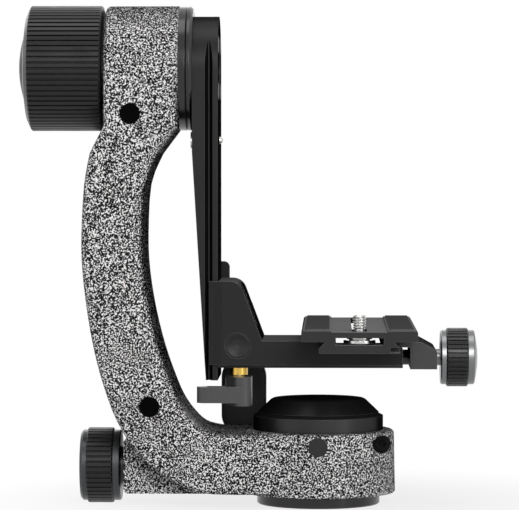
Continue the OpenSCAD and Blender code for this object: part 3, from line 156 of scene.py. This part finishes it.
def facing(material, axis, start, end, one_side=False):
    """0 to 1 as a face turns towards an axis; unless one_side, away from it counts too."""
    normal = add(material, "NewGeometry").outputs["Normal"]
    along = add(
        material, "VectorMath", {0: normal, 1: axis}, operation="DOT_PRODUCT"
    ).outputs["Value"]
    if not one_side:
        along = add(material, "Math", {0: along}, operation="ABSOLUTE").outputs[0]
    return add(
        material,
        "MapRange",
        {"Value": along, "From Min": start, "From Max": end},
        interpolation_type="SMOOTHSTEP",
    ).outputs[0]


def per_metre(size_mm):
    """The texture scale at which one cell of a pattern is this wide."""
    return 1000 / size_mm


print("middle grey, #808080, is", round(linear("#808080")[0], 3), "in linear light")

# %% [markdown]
# ## Speckled enamel on the cast arm
#
# The arm and the foot's housing are one aluminium casting, sprayed with a vein enamel:
# black paint through which silver flake pulls together into little worms as it dries.
# A noise cut sharply near its middle gives just such worms, because the line where a
# smooth noise crosses its mean wanders and closes on itself. The worms are a little under
# a millimetre apart. A second, slower noise lets the mixture drift, and the same
# worms drive the gloss and a slight relief, since the flake stands proud. Inside the bend
# and on the top the mixture is pushed towards the black paint, as painted shade where
# those faces turn away from the lamps.


# %% Speckled enamel
WORM_MM = 0.72  # cell of the noise that draws the worms
DRIFT_MM = 14
DRIFT_SHARE = 0.05
PAINTED_SHADE_INSIDE = 0.1  # painted shade: how far the mixture drops towards black inside the bend
# painted shade on faces turned up, towards black
PAINTED_SHADE_ON_TOP = 0.03
BEND_START, BEND_FULL = 42, 54  # mm up, between the housing's top and the bend's inner side
SHADE_TURN_START, SHADE_TURN_FULL = 0.7, 0.97  # how far a face turns right or up before the painted shade darkens it
FLAKE_START, FLAKE_FULL = 0.46, 0.6  # where the mixture turns from paint to flake
PAINT_ROUGHNESS, FLAKE_ROUGHNESS = 0.4, 0.55
ENAMEL_SHEEN = 0.14
SPRAYED_START, SPRAYED_FULL = 0.3, 0.8  # the faces to front and back keep that sheen
ENAMEL_RELIEF, ENAMEL_RELIEF_MM = 0.25, 0.25


def speckled_enamel():
    material, out, place = new_material("speckled vein enamel, sprayed and baked")
    worms = add(
        material,
        "TexNoise",
        {"Vector": place, "Scale": per_metre(WORM_MM), "Detail": 1.5, "Roughness": 0.5,
         "Distortion": 0.25},
    )
    drift = add(
        material, "TexNoise", {"Vector": place, "Scale": per_metre(DRIFT_MM), "Detail": 1.0}
    )
    shifted = add(
        material,
        "Math",
        {0: drift.outputs["Fac"], 1: DRIFT_SHARE, 2: worms.outputs["Fac"]},
        operation="MULTIPLY_ADD",
    )
    height = add(material, "SeparateXYZ", {"Vector": place}).outputs["Z"]
    in_bend = add(
        material,
        "MapRange",
        {"Value": height, "From Min": BEND_START * MM, "From Max": BEND_FULL * MM},
    ).outputs[0]
    # Painted shade: faces turned right inside the bend, and faces turned up, are pushed towards
    # the black paint.
    to_right = facing(material, ALONG_X, SHADE_TURN_START, SHADE_TURN_FULL, one_side=True)
    inside = add(
        material, "Math", {0: to_right, 1: in_bend}, operation="MULTIPLY"
    ).outputs[0]
    on_top = facing(material, UP, SHADE_TURN_START, SHADE_TURN_FULL, one_side=True)
    for where, shade_depth in ((inside, PAINTED_SHADE_INSIDE), (on_top, PAINTED_SHADE_ON_TOP)):
        shifted = add(
            material,
            "Math",
            {0: where, 1: -shade_depth, 2: shifted.outputs[0]},
            operation="MULTIPLY_ADD",
        )
    colour = add(
        material,
        "ValToRGB",
        {"Fac": shifted.outputs[0]},
        stops=[(0.49, "#040404"), (0.525, "#1c1c1c"), (0.56, "#989898"), (0.61, "#f0f0f0")],
    ).outputs["Color"]
    gloss = add(
        material,
        "MapRange",
        {"Value": shifted.outputs[0], "From Min": FLAKE_START, "From Max": FLAKE_FULL,
         "To Min": PAINT_ROUGHNESS, "To Max": FLAKE_ROUGHNESS},
    )
    sprayed = facing(material, ALONG_Y, SPRAYED_START, SPRAYED_FULL)
    sheen = add(material, "Math", {0: sprayed, 1: ENAMEL_SHEEN}, operation="MULTIPLY")
    relief = add(
        material,
        "Bump",
        {"Height": shifted.outputs[0], "Strength": ENAMEL_RELIEF,
         "Distance": ENAMEL_RELIEF_MM * MM},
    )
    shader = add(
        material,
        "BsdfPrincipled",
        {"Base Color": colour, "Roughness": gloss.outputs[0], "Metallic": 0.0,
         "Specular IOR Level": sheen.outputs[0], "Normal": relief.outputs["Normal"]},
    )
    add_link(material, shader, out)
    return material


print("noise cells", WORM_MM, "mm wide, painted shade inside the bend from", BEND_START, "mm up")

# %% [markdown]
# ## Dark metals
#
# The cradle, the plate and the jaws are milled aluminium, blasted with fine grit and
# anodised black. Anodising keeps the metal's grain but darkens it, so it shines like
# satin with a soft grey bloom. The edges are painted lighter, partly as wear, because grit
# and handling polish them, and partly as painted highlights along them. A Bevel node finds
# them: where its rounded normal differs from the true one, there is an edge. The levers and
# covers are lacquered and the screws have black oxide. They share the recipe, and since all
# of these are coats that hide the metal's own mirror, their metallic value is 0.


# %% Dark metal finishes
BEVEL_SAMPLES = 6
LEVEL_START, LEVEL_FULL = 0.6, 0.95  # how far a face turns up before it takes the painted light of the top tone
FRONT_START, FRONT_FULL = 0.4, 0.9  # how far one turns to front or back to be glossy
EDGE_TURN = 0.75  # cosine between true and rounded normal where an edge counts in full
DARK_EDGE_MM, DARK_RELIEF, DARK_RELIEF_MM = 0.35, 0.12, 0.1
BLOOM_MM = 22
GRIT_DEPTH = 0.14  # how much the grit darkens and lightens the coat
GLOSSIER, DULLER = 0.04, 0.05  # how far the roughness wanders below and above its value


def edge_glow(material, rounded):
    """0 on flat places and near 1 on sharp edges, from a Bevel node's rounded normal."""
    true = add(material, "NewGeometry").outputs["Normal"]
    same = add(material, "VectorMath", {0: rounded, 1: true}, operation="DOT_PRODUCT")
    ends = {"From Min": 1.0, "From Max": EDGE_TURN}
    return add(material, "MapRange", {"Value": same.outputs["Value"], **ends}).outputs[0]


def dark_metal(name, hex_colour, worn_and_lit_edge_hex, roughness, grit_mm, specular, painted_top_hex=None):
    """A dark coat over metal: fine grit, uneven gloss, and edges painted lighter, partly as wear
    and partly as painted highlights.

    With a top colour, the level faces are painted in that tone, as painted light from above
    and a painted reflection of the backdrop, and only faces that look to the front or back
    keep their gloss.
    """
    material, out, place = new_material(name)
    rounded = add(
        material, "Bevel", {"Radius": DARK_EDGE_MM * MM}, samples=BEVEL_SAMPLES
    ).outputs["Normal"]
    edges = edge_glow(material, rounded)
    grit = add(
        material,
        "TexNoise",
        {"Vector": place, "Scale": per_metre(grit_mm), "Detail": 3.0, "Roughness": 0.6},
    )
    bloom = add(
        material, "TexNoise", {"Vector": place, "Scale": per_metre(BLOOM_MM), "Detail": 2.0}
    )
    # Edges painted lighter: partly wear, partly painted highlights along them.
    tone = add(
        material,
        "MixRGB",
        {"Fac": edges, "Color1": linear(hex_colour), "Color2": linear(worn_and_lit_edge_hex)},
    )
    sheen = specular
    # Painted light: level faces take the top tone, for light from above and the backdrop's
    # reflection.
    if painted_top_hex:
        tone = add(
            material,
            "MixRGB",
            {"Fac": facing(material, UP, LEVEL_START, LEVEL_FULL),
             "Color1": tone.outputs[0], "Color2": linear(painted_top_hex)},
        )
        to_front = facing(material, ALONG_Y, FRONT_START, FRONT_FULL)
        sheen = add(
            material, "Math", {0: to_front, 1: specular}, operation="MULTIPLY"
        ).outputs[0]
    speck = add(
        material,
        "MapRange",
        {"Value": grit.outputs["Fac"], "From Min": NOISE_LOW, "From Max": NOISE_HIGH,
         "To Min": 1 - GRIT_DEPTH, "To Max": 1 + GRIT_DEPTH},
    )
    colour = add(
        material,
        "MixRGB",
        {"Fac": 1.0, "Color1": tone.outputs[0], "Color2": speck.outputs[0]},
        blend_type="MULTIPLY",
    )
    gloss = add(
        material,
        "MapRange",
        {"Value": bloom.outputs["Fac"], "From Min": NOISE_LOW, "From Max": NOISE_HIGH,
         "To Min": roughness - GLOSSIER, "To Max": roughness + DULLER},
    )
    bump = add(
        material,
        "Bump",
        {"Height": grit.outputs["Fac"], "Strength": DARK_RELIEF,
         "Distance": DARK_RELIEF_MM * MM, "Normal": rounded},
    )
    shader = add(
        material,
        "BsdfPrincipled",
        {"Base Color": colour.outputs[0], "Roughness": gloss.outputs[0], "Metallic": 0.0,
         "Specular IOR Level": sheen, "Normal": bump.outputs["Normal"]},
    )
    add_link(material, shader, out)
    return material


print("edges of the dark coats are rounded by", DARK_EDGE_MM, "mm for the light")

# %% [markdown]
# ## Bright metals
#
# The knobs' rims are aluminium, turned on a lathe and clear anodised, the screws and
# pins are steel, and a collar on the small lever is brass. A lathe leaves rings round
# its axis, finer than a hair. They are drawn a little coarser here, because at their
# true pitch they would vanish between the pixels. The rings are made from the distance
# to the piece's own axis added to the place along it, so faces and rims both show them.


# %% Bright metal finishes
BRIGHT_EDGE_MM, BRIGHT_RELIEF, BRIGHT_RELIEF_MM = 0.2, 0.15, 0.05
CLOUD_MM = 9
CLOUD_SHADE = 0.86
GLOSS_DRIFT = 0.06  # how far the roughness wanders to either side


def bright_metal(name, hex_colour, roughness, grain_mm, axis=None):
    """Bare metal. An axis, as (point in mm, direction), gives it the rings of a lathe."""
    material, out, place = new_material(name)
    rounded = add(
        material, "Bevel", {"Radius": BRIGHT_EDGE_MM * MM}, samples=BEVEL_SAMPLES
    ).outputs["Normal"]
    if axis:
        centre, direction = axis
        flat = [0 if d else 1 for d in direction]
        moved = add(
            material, "Mapping", {"Vector": place, "Location": [-c * MM for c in centre]}
        )
        across = add(
            material, "VectorMath", {0: moved.outputs[0], 1: flat}, operation="MULTIPLY"
        )
        radius = add(material, "VectorMath", {0: across.outputs[0]}, operation="LENGTH")
        along = add(
            material,
            "VectorMath",
            {0: place, 1: [abs(d) for d in direction]},
            operation="DOT_PRODUCT",
        )
        both = add(
            material,
            "Math",
            {0: radius.outputs["Value"], 1: along.outputs["Value"]},
            operation="ADD",
        )
        grain = add(
            material,
            "TexNoise",
            {"W": both.outputs[0], "Scale": per_metre(grain_mm), "Detail": 2.0},
            noise_dimensions="1D",
        )
    else:
        grain = add(
            material,
            "TexNoise",
            {"Vector": place, "Scale": per_metre(grain_mm), "Detail": 3.0},
        )
    cloud = add(
        material, "TexNoise", {"Vector": place, "Scale": per_metre(CLOUD_MM), "Detail": 2.0}
    )
    colour = add(
        material,
        "MixRGB",
        {"Fac": cloud.outputs["Fac"], "Color1": linear(hex_colour),
         "Color2": [c * CLOUD_SHADE for c in linear(hex_colour)[:3]] + [1]},
    )
    gloss = add(
        material,
        "MapRange",
        {"Value": grain.outputs["Fac"], "From Min": NOISE_LOW, "From Max": NOISE_HIGH,
         "To Min": roughness - GLOSS_DRIFT, "To Max": roughness + GLOSS_DRIFT},
    )
    bump = add(
        material,
        "Bump",
        {"Height": grain.outputs["Fac"], "Strength": BRIGHT_RELIEF,
         "Distance": BRIGHT_RELIEF_MM * MM, "Normal": rounded},
    )
    shader = add(
        material,
        "BsdfPrincipled",
        {"Base Color": colour.outputs[0], "Roughness": gloss.outputs[0], "Metallic": 1.0,
         "Normal": bump.outputs["Normal"]},
    )
    add_link(material, shader, out)
    return material


print("edges of bare metal are rounded by", BRIGHT_EDGE_MM, "mm")

# %% [markdown]
# ## Rubber and moulded plastic
#
# The knobs wear sleeves of black rubber, ribbed for the fingers. Hands have worn them
# smooth, so the crests of the ribs catch a soft light, while fine pores break it up. The
# plugs and caps are moulded plastic with a spark-eroded grain, a shade duller. The pads
# on the plate are rubber sheet, pressed matt so that nothing slips on it.


# %% Rubber and plastic
MOULDED_EDGE_MM, PORE_DEPTH_MM = 0.3, 0.1
TOUCH_MM = 11
WORN_GAIN, WORN_LIFT = 2.1, 0.004  # how an edge that is rubbed grey lightens
SHEET_LEVEL, SHEET_STEEP = 0.95, 0.6  # a level sheet has no sheen, its steep sides have


def moulded(name, hex_colour, roughness, grain_mm, specular, relief, level=False):
    """A moulding: an even colour, rubbed edges, pores, and patches that hands leave.

    A level sheet lies flat, and its upper face has no sheen, only its dull grey.
    """
    material, out, place = new_material(name)
    rounded = add(
        material, "Bevel", {"Radius": MOULDED_EDGE_MM * MM}, samples=BEVEL_SAMPLES
    ).outputs["Normal"]
    edges = edge_glow(material, rounded)
    pores = add(
        material,
        "TexVoronoi",
        {"Vector": place, "Scale": per_metre(grain_mm), "Randomness": 1.0},
    )
    touch = add(
        material, "TexNoise", {"Vector": place, "Scale": per_metre(TOUCH_MM), "Detail": 3.0}
    )
    worn = [min(1, c * WORN_GAIN + WORN_LIFT) for c in linear(hex_colour)[:3]] + [1]
    colour = add(
        material, "MixRGB", {"Fac": edges, "Color1": linear(hex_colour), "Color2": worn}
    )
    sheen = specular
    if level:
        tilted = facing(material, UP, SHEET_LEVEL, SHEET_STEEP)
        sheen = add(
            material, "Math", {0: tilted, 1: specular}, operation="MULTIPLY"
        ).outputs[0]
    gloss = add(
        material,
        "MapRange",
        {"Value": touch.outputs["Fac"], "From Min": NOISE_LOW, "From Max": NOISE_HIGH,
         "To Min": roughness - GLOSS_DRIFT, "To Max": roughness + GLOSS_DRIFT},
    )
    bump = add(
        material,
        "Bump",
        {"Height": pores.outputs["Distance"], "Strength": relief,
         "Distance": PORE_DEPTH_MM * MM, "Normal": rounded},
    )
    shader = add(
        material,
        "BsdfPrincipled",
        {"Base Color": colour.outputs[0], "Roughness": gloss.outputs[0], "Metallic": 0.0,
         "Specular IOR Level": sheen, "Normal": bump.outputs["Normal"]},
    )
    add_link(material, shader, out)
    return material


print("edges of mouldings are rounded by", MOULDED_EDGE_MM, "mm")

# %% [markdown]
# ## Who wears what
#
# Each finish is made once and handed to the nodes that have it. The tones follow the
# photograph: the plate is a lighter black than the cradle, and the moving jaw lighter
# still, as anodised parts from different batches are.


# %% Hand out the finishes
def middle(node):
    """The middle of a node's box, in mm."""
    low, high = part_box(node)
    return [(a + b) / 2 / MM for a, b in zip(low, high)]


PAN_KNOB = (middle("pan_knob_core"), ALONG_X)
CLAMP_KNOB = (middle("clamp_knob_core"), ALONG_X)
UPRIGHT = ((0, 0, 0), UP)

# After its colours, a dark metal has its roughness, grit in mm and specular level, and
# some have the tone of their level faces, which is painted light. A bright metal has
# roughness, grain in mm and axis, and a moulding has roughness, grain in mm, specular
# level and relief.
finishes = {
    speckled_enamel(): ["j_arm"],
    dark_metal("blasted aluminium, anodised black", "#171717", "#909090", 0.42, 0.35, 0.2,
               "#646464"): ["cradle", "rear_jaw"],
    dark_metal("milled aluminium, anodised charcoal", "#222222", "#808080", 0.4, 0.35, 0.24,
               "#8c8c8c"): ["plate"],
    dark_metal("milled aluminium, anodised grey black", "#363636", "#808080", 0.38, 0.35, 0.34,
               "#3c3c3c"): ["moving_jaw"],
    dark_metal("drawn aluminium rail, anodised black", "#141414", "#585858", 0.36, 0.3, 0.22,
               "#303030"): ["swing_arm"],
    dark_metal("spun cover, satin black lacquer", "#161616", "#6a6a6a", 0.34, 0.4, 0.36,
               "#202020"): ["housing_cover"],
    dark_metal("turned flange, gloss black lacquer", "#0c0c0c", "#505050", 0.18, 0.5, 0.5):
        ["foot_ring", "tilt_shaft", "bearing_cover"],
    dark_metal("cast lever, satin black lacquer", "#191919", "#4c4c4c", 0.4, 0.5, 0.3):
        ["clamp_lever"],
    dark_metal("cast lever, bead blasted and lacquered", "#454545", "#7c7c7c", 0.34, 0.5, 0.4):
        ["lock_lever"],
    dark_metal("steel, black oxide", "#1d1d1f", "#5c5c5e", 0.34, 0.4, 0.5):
        ["foot_screws", "spindle_nut", "swing_screws", "bolt_nut", "bolt_washer",
         "guide_pins", "clamp_screw"],
    # Painted shade: a darker copy of the black oxide, for the shade of the deep recess the screw
    # sits in.
    dark_metal("steel screw in a deep recess, black oxide", "#080808", "#2c2c2c", 0.4, 0.4,
               0.08): ["clamp_cap_screw"],
    # Painted reflection: the pan knob's aluminium is a darker copy, standing in for the dim
    # surroundings it reflects.
    bright_metal("turned aluminium, pan knob, darkened as painted reflection", "#4a4b4c", 0.3, 0.12, PAN_KNOB):
        ["pan_knob_core"],
    bright_metal("turned aluminium, clamp knob", "#7c7d7e", 0.3, 0.12, CLAMP_KNOB):
        ["clamp_knob_core", "clamp_knob_cap"],
    bright_metal("ground steel", "#c6c6c4", 0.24, 0.3):
        ["pan_bearings", "tilt_bearings", "pan_knob_stud", "stop_screw", "cross_bolt",
         "lock_stud", "screw_washer", "screw_ring", "camera_screw"],
    bright_metal("turned steel spindle", "#b9b9b8", 0.28, 0.15, UPRIGHT): ["spindle"],
    bright_metal("machined brass", "#d8b25a", 0.26, 0.2):
        ["tripod_bush", "brake_pin", "thrust_washer", "tilt_knob_insert", "lock_collar"],
    moulded("moulded rubber sleeve", "#060606", 0.32, 0.3, 0.36, 0.08):
        ["pan_knob_grip", "tilt_knob_grip", "clamp_knob_grip"],
    moulded("pressed rubber sheet", "#585858", 0.7, 0.3, 0.3, 0.25, level=True):
        ["plate_pads"],
    moulded("moulded nylon, fine grain", "#151515", 0.46, 0.4, 0.3, 0.12):
        ["tilt_knob_core", "tilt_knob_cap", "front_plug", "bolt_cap"],
    moulded("moulded nylon plug, black", "#040404", 0.6, 0.4, 0.02, 0.12): ["arm_plugs"],
}
for finish, wearers in finishes.items():
    for name in wearers:
        mesh = nodes[name].data
        mesh.materials.clear()
        mesh.materials.append(finish)
print(len(finishes), "finishes on", sum(len(w) for w in finishes.values()), "nodes")

# %% [markdown]
# ## Cut threads
#
# The camera screw and the bush in the foot are smooth in the solids, but a real thread
# catches the light once each turn. A thread is a turned surface whose radius depends on
# the angle as well: going once round, the whole profile climbs by one pitch. So one
# function turns any list of rows, and each row may ask for its radius at every angle.
# Both threads are inch threads: 20 turns to the inch for the camera, 16 for the tripod.


# %% Turned and threaded pieces
INCH = 25.4
STEPS_ROUND = 64
STEPS_PER_TURN = 10
FLANK_START, FLANK_SLOPE = 1.25, 4  # a thread's crest and root are flat, its flanks straight


def thread(radius, pitch, depth, inward):
    """The radius of a thread, near 60 degrees, by height in mm and share of a turn."""

    def at(height, turn):
        phase = (height / pitch - turn) % 1
        cut_in = depth * min(1, max(0, FLANK_START - FLANK_SLOPE * abs(phase - 0.5)))
        return radius + (cut_in if inward else -cut_in)

    return at


def thread_rows(low, high, pitch, at):
    """Rows of a thread between two heights, close enough to follow its flanks."""
    count = math.ceil((high - low) / pitch * STEPS_PER_TURN)
    return [(low + (high - low) * i / count, at) for i in range(count + 1)]


def turned(name, centre, rows, body, node, ring=False):
    """Turns rows of (height, radius or radius rule), in mm, about an upright axis.

    The piece rides the body and stands in for the node, whose finish it wears.
    """
    bm = bmesh.new()
    rounds = []
    for height, rule in rows:
        this_round = []
        for step in range(STEPS_ROUND):
            turn = step / STEPS_ROUND
            radius = rule(height, turn) if callable(rule) else rule
            angle = 2 * math.pi * turn
            spot = (centre[0] + radius * math.cos(angle), centre[1] + radius * math.sin(angle))
            this_round.append(bm.verts.new(Vector((*spot, height)) * MM))
        rounds.append(this_round)
    pairs = list(zip(rounds, rounds[1:]))
    if ring:
        pairs.append((rounds[-1], rounds[0]))
    else:
        bm.faces.new(rounds[0])
        bm.faces.new(rounds[-1])
    for below, above in pairs:
        for i in range(STEPS_ROUND):
            j = (i + 1) % STEPS_ROUND
            bm.faces.new((below[i], below[j], above[j], above[i]))
    bmesh.ops.recalc_face_normals(bm, faces=bm.faces)
    mesh = bpy.data.meshes.new(name)
    bm.to_mesh(mesh)
    bm.free()
    piece = bpy.data.objects.new(name, mesh)
    bpy.context.scene.collection.objects.link(piece)
    mesh.materials.append(nodes[node].data.materials[0])
    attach(piece, body)
    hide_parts(node)


print("a turn of thread has", STEPS_PER_TURN, "rows of", STEPS_ROUND, "points")

# %% [markdown]
# ## The camera screw and the tripod bush
#
# The screw has a flat head that slides in the plate, a thin neck and then its thread, and
# the bush is a brass ring with the thread inside. Each could be modelled point by point,
# but rows are quicker and safer: heights and radii from the head to the tip, with
# the thread's own rows between. Their places come from the boxes of the solids.


# %% The camera screw and the tripod bush
CAMERA_PITCH, CAMERA_DEPTH, CAMERA_RADIUS = INCH / 20, 0.6, 3.175
TRIPOD_PITCH, TRIPOD_DEPTH, TRIPOD_RADIUS = INCH / 16, 0.7, 4.7625
CHAMFER = 0.6  # at a screw's tip and a bush's mouth; all these are in mm
HEAD_HEIGHT, HEAD_EDGE = 1.9, 0.3  # the edge is the bevel under the head
NECK_RADIUS = 2.5
THREAD_LENGTH = 5.7

low, high = [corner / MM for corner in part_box("camera_screw")]
screw_x, screw_y, _ = (low + high) / 2
head_radius = (high.x - low.x) / 2
head_top = low.z + HEAD_HEIGHT
thread_start = high.z - CHAMFER - THREAD_LENGTH
ridge = thread(CAMERA_RADIUS, CAMERA_PITCH, CAMERA_DEPTH, inward=False)
turned(
    "camera_screw_threaded",
    (screw_x, screw_y),
    [(low.z, head_radius - HEAD_EDGE), (low.z + HEAD_EDGE, head_radius),
     (head_top, head_radius), (head_top, NECK_RADIUS), (thread_start, NECK_RADIUS)]
    + thread_rows(thread_start, high.z - CHAMFER, CAMERA_PITCH, ridge)
    + [(high.z, CAMERA_RADIUS - CHAMFER)],
    "camera_screw",
    "camera_screw",
)

low, high = [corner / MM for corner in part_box("tripod_bush")]
bush_radius = (high.x - low.x) / 2
groove = thread(TRIPOD_RADIUS - TRIPOD_DEPTH, TRIPOD_PITCH, TRIPOD_DEPTH, inward=True)
turned(
    "tripod_bush_threaded",
    (0, 0),
    [(low.z, bush_radius), (low.z, TRIPOD_RADIUS)]
    + thread_rows(low.z + CHAMFER, high.z - CHAMFER, TRIPOD_PITCH, groove)
    + [(high.z, TRIPOD_RADIUS), (high.z, bush_radius)],
    "base",
    "tripod_bush",
    ring=True,
)
print("threads cut:", round(INCH / CAMERA_PITCH), "and", round(INCH / TRIPOD_PITCH), "to the inch")

# %% [markdown]
# ## Floor, backdrop and light
#
# A product shot on white: the floor and the space behind read as white paper to the
# camera, to gloss and to glass, but give the object only a gentle light. The floor
# mixes that white with a plain matt surface, so a soft shadow stays under the foot.


# %% Floor and world
FLOOR_HALF = 6  # metres
FLOOR_DROP = 0.2 * MM  # below the foot, so the two never share a plane
SHADOW_START, SHADOW_END = 0.05, 0.2  # metres from the foot's middle
SHADOW_KEPT = 0.2
ROOM_LIGHT = 0.05


def seen_directly(material):
    """1 to the camera, in gloss and through glass, and 0 to the light on the object."""
    ray = add(material, "LightPath").outputs
    seen = ray["Is Camera Ray"]
    for other in ("Is Glossy Ray", "Is Transmission Ray"):
        seen = add(material, "Math", {0: seen, 1: ray[other]}, operation="MAXIMUM").outputs[0]
    return seen


floor_mesh = bpy.data.meshes.new("floor")
floor_bm = bmesh.new()
bmesh.ops.create_grid(floor_bm, x_segments=1, y_segments=1, size=FLOOR_HALF)
floor_bm.to_mesh(floor_mesh)
floor_bm.free()
floor = bpy.data.objects.new("floor", floor_mesh)
floor.location.z = cad_box[0].z - FLOOR_DROP
bpy.context.scene.collection.objects.link(floor)

paper, paper_out, _ = new_material("white paper floor")
matt = add(paper, "BsdfDiffuse", {"Color": linear("#e4e4e4")})
white = add(paper, "Emission", {"Color": linear("#ffffff"), "Strength": 1.0})
reach = add(
    paper,
    "VectorMath",
    {0: add(paper, "TexCoord").outputs["Object"]},
    operation="LENGTH",
)
fade = add(
    paper,
    "MapRange",
    {"Value": reach.outputs["Value"], "From Min": SHADOW_START, "From Max": SHADOW_END,
     "To Min": 1 - SHADOW_KEPT, "To Max": 1.0},
    interpolation_type="SMOOTHSTEP",
)
share = add(
    paper, "Math", {0: seen_directly(paper), 1: fade.outputs[0]}, operation="MULTIPLY"
)
add_link(
    paper,
    add(paper, "MixShader", {"Fac": share.outputs[0], 1: matt.outputs[0], 2: white.outputs[0]}),
    paper_out,
)
floor_mesh.materials.append(paper)
print("floor", round(floor.location.z / MM, 1), "mm up, shadow out to", SHADOW_END, "m")

world = bpy.data.worlds.new("white studio")
world.use_nodes = True
world.node_tree.nodes.clear()
bpy.context.scene.world = world
sky_out = add(world, "OutputWorld")
dim = add(world, "Background", {"Color": linear("#ffffff"), "Strength": ROOM_LIGHT})
bright = add(world, "Background", {"Color": linear("#ffffff"), "Strength": 1.0})
add_link(
    world,
    add(
        world,
        "MixShader",
        {"Fac": seen_directly(world), 1: dim.outputs[0], 2: bright.outputs[0]},
    ),
    sky_out,
)

# %% [markdown]
# ## Lamps
#
# Five soft lamps do the work: a main one in front, above and a little to the right, slim
# ones at the right and the left that draw the edges, one overhead and a weak one behind.
# A lamp could be set by its watts, but those mean little until its distance is known. So
# each is given the tone that it would lend a white card at the object, and its watts
# follow from how far away it stands.


# %% Lamps
LAMP_TARGET = Vector((-30, 0, 120)) * MM


def softbox(name, place, width, height, level):
    """A soft rectangle of light aimed at the object; level is what a white card shows."""
    lamp = bpy.data.lights.new(name, "AREA")
    lamp.shape = "RECTANGLE"
    lamp.size, lamp.size_y = width, height
    place = Vector(place)
    lamp.energy = level * math.pi**2 * (place - LAMP_TARGET).length_squared
    stand = bpy.data.objects.new(name, lamp)
    stand.location = place
    stand.rotation_euler = (LAMP_TARGET - place).to_track_quat("-Z", "Y").to_euler()
    bpy.context.scene.collection.objects.link(stand)
    print(name, round(lamp.energy, 1), "W")


# Each has its place, width and height in metres, and then its level.
softbox("front lamp", (0.4, -1.5, 0.75), 0.8, 0.7, 0.54)
softbox("right lamp", (1.2, -1.15, 0.35), 0.3, 0.9, 0.2)
softbox("left lamp", (-1.1, -1.0, 0.5), 0.4, 0.9, 0.1)
softbox("top lamp", (0.0, -0.1, 1.3), 0.8, 0.6, 0.22)
softbox("back lamp", (-0.4, 1.5, 0.7), 1.2, 0.8, 0.1)
bpy.context.scene.view_settings.view_transform = "Standard"

# %% [markdown]
# ## The end
#
# The scene is complete; the last cell only says so.

# %% Finish
print("scene built")
